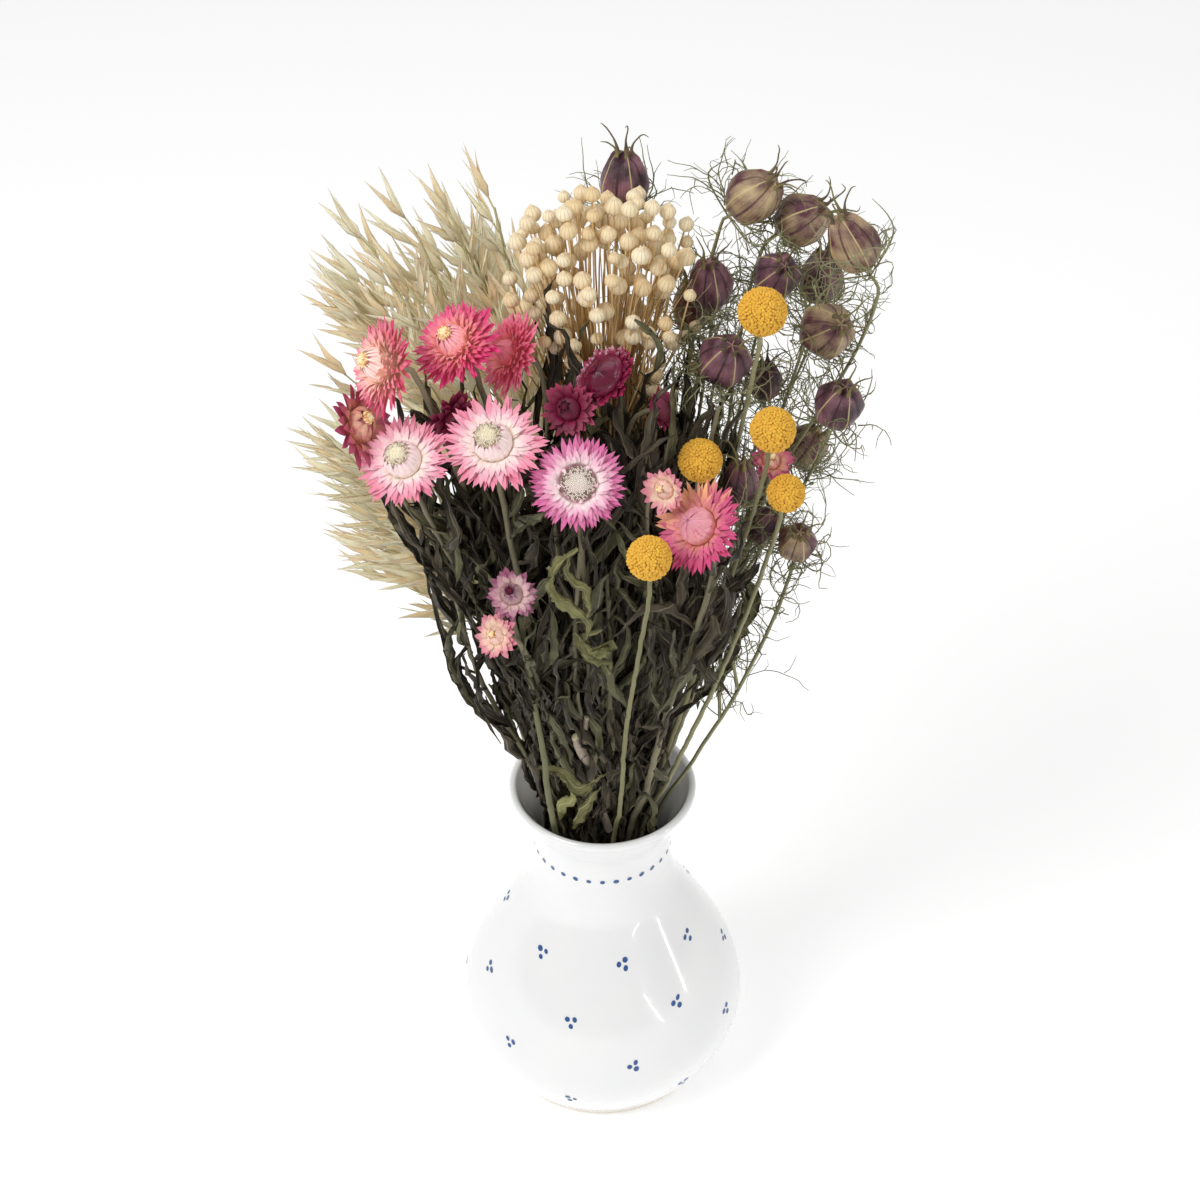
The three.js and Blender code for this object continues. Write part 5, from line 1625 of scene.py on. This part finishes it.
# Love-in-a-mist stems
# Thin ribbed stems that fork below the pods. Their leaves and the bracts round each pod are threads, forked
# again and again, and together they hang round the pods like a mist.
THREADS_PER_POD = 3
THREAD_RADIUS = 0.45
MIST_THREADS = 26
TANGLED_THREADS = 64
MIST_RADIUS = 0.34
MIST_LENGTH = 16
MIST_LENGTH_PLAY = 20
CURL = 12
CURL_PLAY = 58
THREAD_STEPS = 7
THREAD_TWIGS = 2
TWIG_STEPS = 3
TWIG_LENGTH = 6
TWIG_LENGTH_PLAY = 9
STEM_THREADS = 30
STEM_THREAD_RADIUS = 0.3
STEM_THREAD_LENGTH = 16
STEM_THREAD_PLAY = 22
BARE_FOOT_Z = 215
BARE_NECK = 14
LEADING_GIRTHS = [1.0, 0.95, 0.8, 0.7]
SIDE_GIRTHS = [0.8, 0.75, 0.7]


def bract_threads(owner, head, seed):
    """The strong threads that stand round a pod."""
    place = place_of(head)
    found = []
    for k in range(THREADS_PER_POD * 3):
        if len(found) == THREADS_PER_POD:
            break
        a = 2 * math.pi * (k + 0.5 * draw(seed, k)) / THREADS_PER_POD
        flare = head["wide"] / 2 + 4 + 5 * draw(seed + 1, k)
        top = (0.7 + 0.5 * draw(seed + 2, k)) * head["tall"]
        path = [
            place @ Vector((r * math.cos(a + 0.2 * i), r * math.sin(a + 0.2 * i), z))
            for i, (r, z) in enumerate(((0, -4), (flare, 0.15 * head["tall"]), (flare + 1, top)))]
        if thicket.is_clear(owner, path, THREAD_RADIUS):
            thicket.reserve(owner, path, THREAD_RADIUS)
            found.append(path)
    return found


def curled(root, heading, length, steps, seed):
    """A thread that has curled up as it dried."""
    axis = direction(360 * draw(seed, 31), 180 * draw(seed, 32) - 90)
    turn = math.radians(CURL + CURL_PLAY * draw(seed, 33))
    points = [root]
    for i in range(steps):
        points.append(points[-1] + heading * (length / steps))
        heading = Matrix.Rotation(turn, 3, axis) @ heading
        axis = (axis + direction(360 * draw(seed, 34 + i), 0) * 0.5).normalized()
    return kept_in_box(points)


def forked_thread(sprig, path, radius, seed):
    """A fine thread with two shorter ones that leave it on the way."""
    sprig.add(path, [radius, radius * 0.75, radius * 0.4], draw(seed, 1))
    for j in range(THREAD_TWIGS):
        root = path[2 + 2 * j]
        away = direction(360 * draw(seed, 2 + j), 100 * (draw(seed, 6 + j) - 0.4))
        heading = ((path[3 + 2 * j] - root).normalized() + away).normalized()
        length = TWIG_LENGTH + TWIG_LENGTH_PLAY * draw(seed, 10 + j)
        twig = curled(root, heading, length, TWIG_STEPS, seed + 7 + j)
        sprig.add(twig, [radius * 0.7, radius * 0.5, radius * 0.3], draw(seed, 14 + j))


def mist(sprig, head, seed, threads):
    """The fine forked threads that hang round a pod."""
    place = place_of(head)
    wide, tall = head["wide"], head["tall"]
    for k in range(threads):
        s = seed + k * 3
        a = 2 * math.pi * (k + 0.7 * draw(s, 20)) / threads
        low = (0.35 * draw(s, 22)) * tall - 2
        out = wide / 2 * (0.25 + 0.9 * (low + 2) / tall / 0.35)
        root = place @ Vector((out * math.cos(a), out * math.sin(a), low))
        heading = place.to_3x3() @ Vector((math.cos(a), math.sin(a), 0.2 + 0.9 * draw(s, 23)))
        length = MIST_LENGTH + MIST_LENGTH_PLAY * draw(s, 24)
        forked_thread(sprig, curled(root, heading.normalized(), length, THREAD_STEPS, s), MIST_RADIUS, s)


MIST_SKIN = twig_skin("mist_threads", "#a3a27a", "#62613f")
pod_threads = [
    [thread for k, head in enumerate(members) for thread in bract_threads(name, head, 60 + 10 * i + k)]
    for i, (name, members, _) in enumerate(pod_sprays)]
for i, (name, members, paths) in enumerate(pod_sprays):
    stems = Sprig()
    for k, (head, path) in enumerate(zip(members, paths)):
        stems.add(path, SIDE_GIRTHS if k else LEADING_GIRTHS, 0.35 * draw(i, k))
        threads = TANGLED_THREADS if head is heads["crinkled"] else MIST_THREADS
        mist(stems, head, 500 + 100 * i + 10 * k, threads)
        bottom, top = max(path[0].z, BARE_FOOT_Z), path[-1].z - BARE_NECK
        for j in range(STEM_THREADS):
            s = 2000 + 300 * i + 40 * k + j
            root = point_at(path, bottom + (top - bottom) * draw(s, 3) ** 0.6)
            out = direction(360 * draw(s, 4), 10 + 60 * draw(s, 5))
            length = STEM_THREAD_LENGTH + STEM_THREAD_PLAY * draw(s, 6)
            forked_thread(stems, curled(root, out, length, THREAD_STEPS, s), STEM_THREAD_RADIUS, s)
    for thread in pod_threads[i]:
        stems.add(thread, [0.45, 0.4, 0.15], 0.4)
    tree = sprig_tree(name, MIST_SKIN, MIST_SKIN, sides=4, step=3.2, wobble=0.25)
    finish_piece(f"mist_stems_{i + 1}", grow(tree, stems.mesh()), Matrix(), [name])

# Strawflower stems
# Stout branching stems whose long narrow leaves have dried dark, with shade painted almost black in their
# folds: they are rolled at the edges, twisted and crumpled, and hang together so thickly that they fill the
# neck of the vase.
LEAF_LOWEST_Z = 158
LEAF_STEPS = 3
CROWD_LEAVES = 33
BARE_STEMS = 3
RIGHT_STEMS = 12
RIGHT_SPRAY = 5
SMALL_SPRAY = 6
SMALL_SPRAY_LEAVES = 14
NECK_GIRTH = 0.8
SIDE_STEM_GIRTHS = [1.0, 0.9, 0.8]
BARE_STEM_GIRTHS = [1.7, 1.5, 1.3, 0.9]
BARE_STEM_SWAY = 14
BARE_STEM_TOP = 300
BARE_TOP_PLAY = 90
# Where bare stems stand in the fan: the middle of their cone, and how wide and how deep it is.
RIGHT_CONE = ((0.11, -0.03), 0.09, 0.1)
LEFT_CONE = ((-0.07, -0.1), 0.25, 0.14)
RIGHT_CONE_RISE = 35
WIDE_HEAD_ROOM = 13
BIG_LEAF_ROOM = 7
BIG_LEAF_LENGTH = 36
BIG_LEAF_LENGTH_PLAY = 34
BIG_LEAF_WIDTH = 6
BIG_LEAF_WIDTH_PLAY = 4
LEAF_ROOM = 9
LEAF_LENGTH = 36
LEAF_LENGTH_PLAY = 46
LEAF_WIDTH = 2.4
LEAF_WIDTH_PLAY = 5.2
DROOPING_SHARE = 0.38
LEAF_BENDS = 150
LEAF_STAND_OFF = (0.7, 0.42, 0.24, 0.28, 0.4, 0.6)
LEAF_SINK = 1.25
RIGHT_LEAF_SINK = 0.7
LEAF_WIDTHS = [0.3, 0.75, 1.0, 0.95, 0.7, 0.4, 0.1]
LEAF_THICKNESS = 0.1


def leaf_path(root, azimuth, length, seed):
    """A big leaf: it rises beside its stem, then curls over and to one side."""
    points = [root]
    rise, curl, sway = 80 - 30 * draw(seed, 1), -90 * draw(seed, 2) ** 2, 120 * swing(seed, 3)
    for i in range(LEAF_STEPS):
        t = i / (LEAF_STEPS - 1)
        points.append(points[i] + direction(azimuth + sway * t, rise + curl * t) * (length / LEAF_STEPS))
    return points


def in_mouth(points, radius):
    """Whether points keep inside the vase's neck and mouth, or above its lip."""
    return all(p.z > RIM_Z + 12 or math.hypot(p.x, p.y) + radius < MOUTH_ROOM for p in points)


def in_vase(points, clearance):
    """Whether points keep off the vase's wall, or above its lip."""
    return all(
        p.z > RIM_Z + 3 or math.hypot(p.x, p.y) + clearance < vase_radius(p.z) - VASE_WALL for p in points)


def spread_leaves(owner, stems, wanted, seed):
    """The big leaves, each clear of everything that another stem carries."""
    found = []
    for i in range(wanted * 12):
        if len(found) == wanted:
            break
        stem = stems[i % len(stems)]
        top, bottom = stem[-1].z - 26, max(stem[0].z, LEAF_LOWEST_Z)
        root = point_at(stem, bottom + (top - bottom) * draw(seed, 4 + 7 * i))
        length = BIG_LEAF_LENGTH + BIG_LEAF_LENGTH_PLAY * draw(seed, 5 + 7 * i)
        width = BIG_LEAF_WIDTH + BIG_LEAF_WIDTH_PLAY * draw(seed, 6 + 7 * i)
        path = leaf_path(root, 360 * draw(seed, 7 + 7 * i), length, seed + 7 * i)
        clear = thicket.is_clear(owner, path[:2], width / 2) and thicket.is_clear("", path[1:], width / 3)
        if clear and in_mouth(path, width / 2):
            thicket.reserve(owner, path, width / 2)
            found.append((path, width))
    return found


def shrivelled_path(root, along, seed):
    """A leaf that has wilted against its stem: it stands off a little, then droops or rises beside it."""
    length = LEAF_LENGTH + LEAF_LENGTH_PLAY * draw(seed, 62)
    way = along if draw(seed, 65) > DROOPING_SHARE else -along
    azimuth = 360 * draw(seed, 64)
    points = [root]
    for i, far in enumerate(LEAF_STAND_OFF):
        azimuth += LEAF_BENDS * swing(seed, 66 + i)
        stand_off = far * (0.42 + draw(seed, 72 + i))
        step = way * (1 - 0.4 * stand_off) + direction(azimuth, 0) * stand_off
        points.append(points[-1] + step.normalized() * (length / len(LEAF_STAND_OFF)))
    return points


def drawn_in(path, stem, room):
    """Keeps a path from standing further out than its stem does, by more than some room."""
    kept = [path[0]]
    for p in path[1:]:
        at = point_at(stem, min(p.z, stem[-1].z))
        out = math.hypot(at.x, at.y)
        most = out + room * (1 if at.y > 0 else 0.4 + 0.6 * abs(at.x) / out)
        reach = math.hypot(p.x, p.y)
        keep_in = min(1, most / reach)
        kept.append(Vector((p.x * keep_in, p.y * keep_in, p.z)))
    return kept


def clear_of_wide_heads(points):
    """Whether points keep off the heads that have spread wider as they dried, and off the dark bud."""
    places = [heads[key]["at"] for key in (*TURNED_ASIDE, "darkBud")]
    return all((p - place).length > WIDE_HEAD_ROOM for p in points for place in places)


def crowd_leaves(stems, wanted, seed, sink):
    """The smaller shrivelled leaves along the stems. The larger sink is, the more of them are low down."""
    found = []
    for i in range(wanted * 5):
        if len(found) == wanted:
            break
        s = seed + i
        stem = stems[i % len(stems)]
        top, bottom = stem[-1].z - 22, max(stem[0].z, LEAF_LOWEST_Z + 4)
        z = bottom + (top - bottom) * draw(s, 61) ** sink
        root = point_at(stem, z)
        path = shrivelled_path(root, (point_at(stem, z + 3) - root).normalized(), s)
        path = drawn_in(path, stem, LEAF_ROOM)
        width = LEAF_WIDTH + LEAF_WIDTH_PLAY * draw(s, 63) ** 1.4
        room = width / 3
        if clear_of_wide_heads(path) and thicket.is_clear("", path, room, head_rods) and in_vase(path, room):
            found.append((kept_in_box(path), width))
    return found


def bare_stem(seed, on_right):
    """A stem whose flower has gone: it stands somewhere inside the cone of the leafy ones."""
    share, a = 0.9 * math.sqrt(draw(seed, 1)), 2 * math.pi * draw(seed, 2)
    middle, wide, deep = RIGHT_CONE if on_right else LEFT_CONE
    fan = Vector((middle[0] + wide * share * math.cos(a), middle[1] + deep * share * math.sin(a)))
    top = BARE_STEM_TOP + BARE_TOP_PLAY * draw(seed, 3) + (RIGHT_CONE_RISE if on_right else 0)
    half = on_fan(fan, (MOUTH_TOP_Z + top) / 2) + aside(seed, 4) * BARE_STEM_SWAY
    return [*stem_foot(fan), on_fan(fan, MOUTH_TOP_Z), half, on_fan(fan, top)]


def leaf_skin(name, shade, face, green, edge):
    """Shrivelled and creased along the leaf, with shade painted nearly black in the folds and light painted
    on the crests, and paler on the rib and the edges.
    """
    material, tree, shader, where = surface(name)
    along, side, tone = (painted_value(tree, n) for n in ("along", "side", "tone"))
    cloud = noise(tree, where, 9, 4.0)
    # The creases are raised in the surface and also painted: shade is painted nearly black in the folds and
    # lighter on their crests, mixed with a mottled cloud and each leaf's own tone.
    folds = noise(tree, vector(tree, side * 3.6 + tone * 50.0, along * 2.6, tone * 9.0), 1, 4.0, 0.8)
    light = cloud * 0.5 + folds * 0.7 + (tone * 7.0).sin() * 0.06
    dark = blend_colours(tree, ramp(light, 0.46, 0.82), shade, face)
    skin = blend_colours(tree, (ramp(tone, 0.62, 0.95) * (0.25 + cloud)).limited(), dark, green)
    off_rib = side.math("ABSOLUTE")
    # Paler on the rib and the edges, with a painted highlight on the crests of the creases.
    pale = (1.0 - ramp(off_rib, 0.0, 0.12)) * 0.5 + ramp(off_rib, 0.9, 1.0) * 0.4
    skin = blend_colours(tree, (pale + ramp(folds, 0.62, 0.8) * 0.3).limited(), skin, edge)
    dress(tree, shader, skin, 0.55 + folds * 0.35, folds + cloud * 0.3, depth=0.9)
    return material


# The first colour of each leaf skin is the shade that is painted in its folds.
LEAF_SKIN = leaf_skin("shrivelled_leaves", "#17130e", "#655a45", "#6e6e4a", "#b4a788")
BARK = twig_skin("dark_bark", "#a0977a", "#5f5943")
big_leaves = [
    spread_leaves(name, paths, wanted, 90 + i)
    for i, ((name, _, paths), (*_, wanted)) in enumerate(zip(flower_sprays, FLOWER_SPRAYS))]
for i, (name, members, paths) in enumerate(flower_sprays):
    spray = Sprig()
    for k, (head, path) in enumerate(zip(members, paths)):
        neck = head["stem"] * NECK_GIRTH
        side_girths = [1.2, 1.1, neck] if head["stem"] > STOUT_STEM else SIDE_STEM_GIRTHS
        spray.add(path, side_girths if k else [1.7, 1.55, 1.3, neck], draw(i, k + 30))
    for k, (path, width) in enumerate(big_leaves[i]):
        stem = min(paths, key=lambda line: (point_at(line, path[0].z) - path[0]).length)
        widths = [w * width * 0.36 for w in LEAF_WIDTHS]
        spray.add(drawn_in(path, stem, BIG_LEAF_ROOM), widths, draw(i, k + 40), blade=1)
    on_right = i == RIGHT_SPRAY
    bare_count = RIGHT_STEMS if on_right else 0 if i == SMALL_SPRAY else BARE_STEMS
    bare = [bare_stem(50 * i + k, on_right) for k in range(bare_count)]
    for k, path in enumerate(bare):
        spray.add(path, BARE_STEM_GIRTHS, draw(i, k + 60))
    wanted = SMALL_SPRAY_LEAVES if i == SMALL_SPRAY else CROWD_LEAVES * len(paths + bare)
    sink = RIGHT_LEAF_SINK if on_right else LEAF_SINK
    for k, (path, width) in enumerate(crowd_leaves(paths + bare, wanted, 3000 + 400 * i, sink)):
        spray.add(path, [w * width / 2 for w in LEAF_WIDTHS], draw(i, k + 90), blade=1)
    tree = sprig_tree(
        name, BARK, LEAF_SKIN, sides=7, step=5.0, wobble=0.8, blade_step=4.6, cup=0.85, crumple=1.9)
    grown = grow(tree, spray.mesh(), **{"Blade Thickness": LEAF_THICKNESS})
    finish_piece(f"leafy_stems_{i + 1}", grown, Matrix(), [name])

# The front leaves and the broken twig
# A few leaves have dried yellow-green at the front, some hang as dark curls at the edges, and one twig is cut
# short. Each leaf is given by the points that it goes through and its width.
GREEN_FRONT = [
    ([(-10, -70, 378), (-19, -70, 368), (-20, -70, 356), (-12, -70, 346), (-5, -70, 336), (-9, -70, 326)], 7),
    ([(-14, -69, 374), (-15, -68, 362), (-7, -70, 354), (-6, -70, 342), (-12, -68, 334)], 5),
    ([(-12, -62, 326), (-5, -62, 315), (3, -62, 320), (-2, -62, 311), (6, -62, 301)], 8),
    ([(0, -63, 328), (-8, -62, 322), (-4, -63, 312), (4, -61, 308), (0, -62, 299)], 6),
    ([(-29, -40, 226), (-18, -40, 223), (-11, -40, 214), (-2, -40, 221), (4, -40, 224)], 7),
    ([(-14, -27, 176), (-12, -31, 188), (-5, -33, 199), (-1, -34, 208)], 8),
    ([(-20, -24, 178), (-20, -29, 190), (-14, -33, 200), (-16, -34, 212)], 6),
]
DARK_FRONT = [
    ([(33, -30, 290), (43, -30, 279), (53, -30, 267), (50, -28, 258)], 5),
    ([(53, -30, 319), (60, -30, 295), (55, -30, 277)], 4),
    ([(13, -10, 451), (18, -10, 445), (23, -10, 437), (22, -10, 427), (19, -10, 418)], 5),
    ([(20, -34, 300), (32, -36, 312), (44, -34, 306), (50, -32, 290)], 3),
    ([(12, -32, 192), (16, -33, 202), (19, -34, 206), (24, -33, 200)], 6),
]
FRONT_STEM = [(-32, -45, 291), (-29, -45, 261), (-26, -45, 236), (-25, -41, 213), (-21, -22, 160)]
TWIG_FOOT = point_at(leader_path(heads["brightFront"]), 212)
TWIG_KNEE = TWIG_FOOT + Vector((-5, -12, 20))
CUT_STUB = [(3, -20, 168), (-1, -27, 190)]


def cut_twig_skin():
    """Grey-pink bark, with the pale wood bare where the twig has been cut."""
    material, tree, shader, where = surface("cut_twig")
    grain = noise(tree, where, 1.2, 4.0)
    bark = blend_colours(tree, grain, "#7c6c5e", "#c2b2a2")
    skin = blend_colours(tree, ramp(painted_value(tree, "along"), 0.985, 1.0), bark, "#f0e6bd")
    dress(tree, shader, skin, 0.7 + grain * 0.2, grain, depth=0.4)
    return material


fronts = Sprig()
for k, (path, width) in enumerate(GREEN_FRONT):
    fronts.add(path, [w * width / 2 for w in LEAF_WIDTHS], draw(k, 81), blade=1)
fronts.add(FRONT_STEM, [1.2, 1.3, 1.4, 1.5], 0.4)
# Here too the first colour is the shade that is painted in the folds.
GREEN_LEAF = leaf_skin("yellow_green_leaves", "#55532f", "#96935e", "#a8a76c", "#d8d49e")
GREEN_STEM = twig_skin("green_stem", "#7d7d59", "#56563b")
tree = sprig_tree(
    "green_leaves", GREEN_STEM, GREEN_LEAF, sides=8, step=4.0, blade_step=1.6, cup=0.7, crumple=1.7)
green_leaves = grow(tree, fronts.mesh(), **{"Blade Thickness": LEAF_THICKNESS})
finish_piece("green_leaves", green_leaves, Matrix(), [])
curls = Sprig()
for k, (path, width) in enumerate(DARK_FRONT):
    curls.add(path, [w * width / 2 for w in LEAF_WIDTHS], draw(k, 83), blade=1)
curls.add([TWIG_FOOT, TWIG_KNEE, TWIG_KNEE + Vector((-3, -3, 13))], [2.3, 2.4, 1.9])
curls.add([TWIG_KNEE, TWIG_KNEE + Vector((2, -2, 24))], [1.9, 1.1])
curls.add(CUT_STUB, [2.0, 1.8])
tree = sprig_tree("broken_twig", cut_twig_skin(), LEAF_SKIN, sides=9, step=2.0, blade_step=2.0, cup=0.7)
broken_twig = grow(tree, curls.mesh(), **{"Blade Thickness": LEAF_THICKNESS})
finish_piece("broken_twig", broken_twig, Matrix(), [])

# Billy button stems
# Each is one straight, bare, wiry stem with a few small knots. It goes from the vase's floor up the fan and
# ends inside its button.
BUTTON_STEM_GIRTHS = [1.15, 1.1, 1.0, 1.0]
BUTTON_STEM = twig_skin("button_stem", "#a5a07c", "#77744f")
for i, path in enumerate(button_paths):
    stem = Sprig()
    stem.add(path, BUTTON_STEM_GIRTHS, draw(i, 7))
    tree = sprig_tree(f"button_stem_{i + 1}", BUTTON_STEM, BUTTON_STEM, sides=8, step=4.0, wobble=0.7)
    finish_piece(
        f"button_stem_{i + 1}", grow(tree, stem.mesh()), Matrix(), [f"billy_button_{i + 1}_stem"])
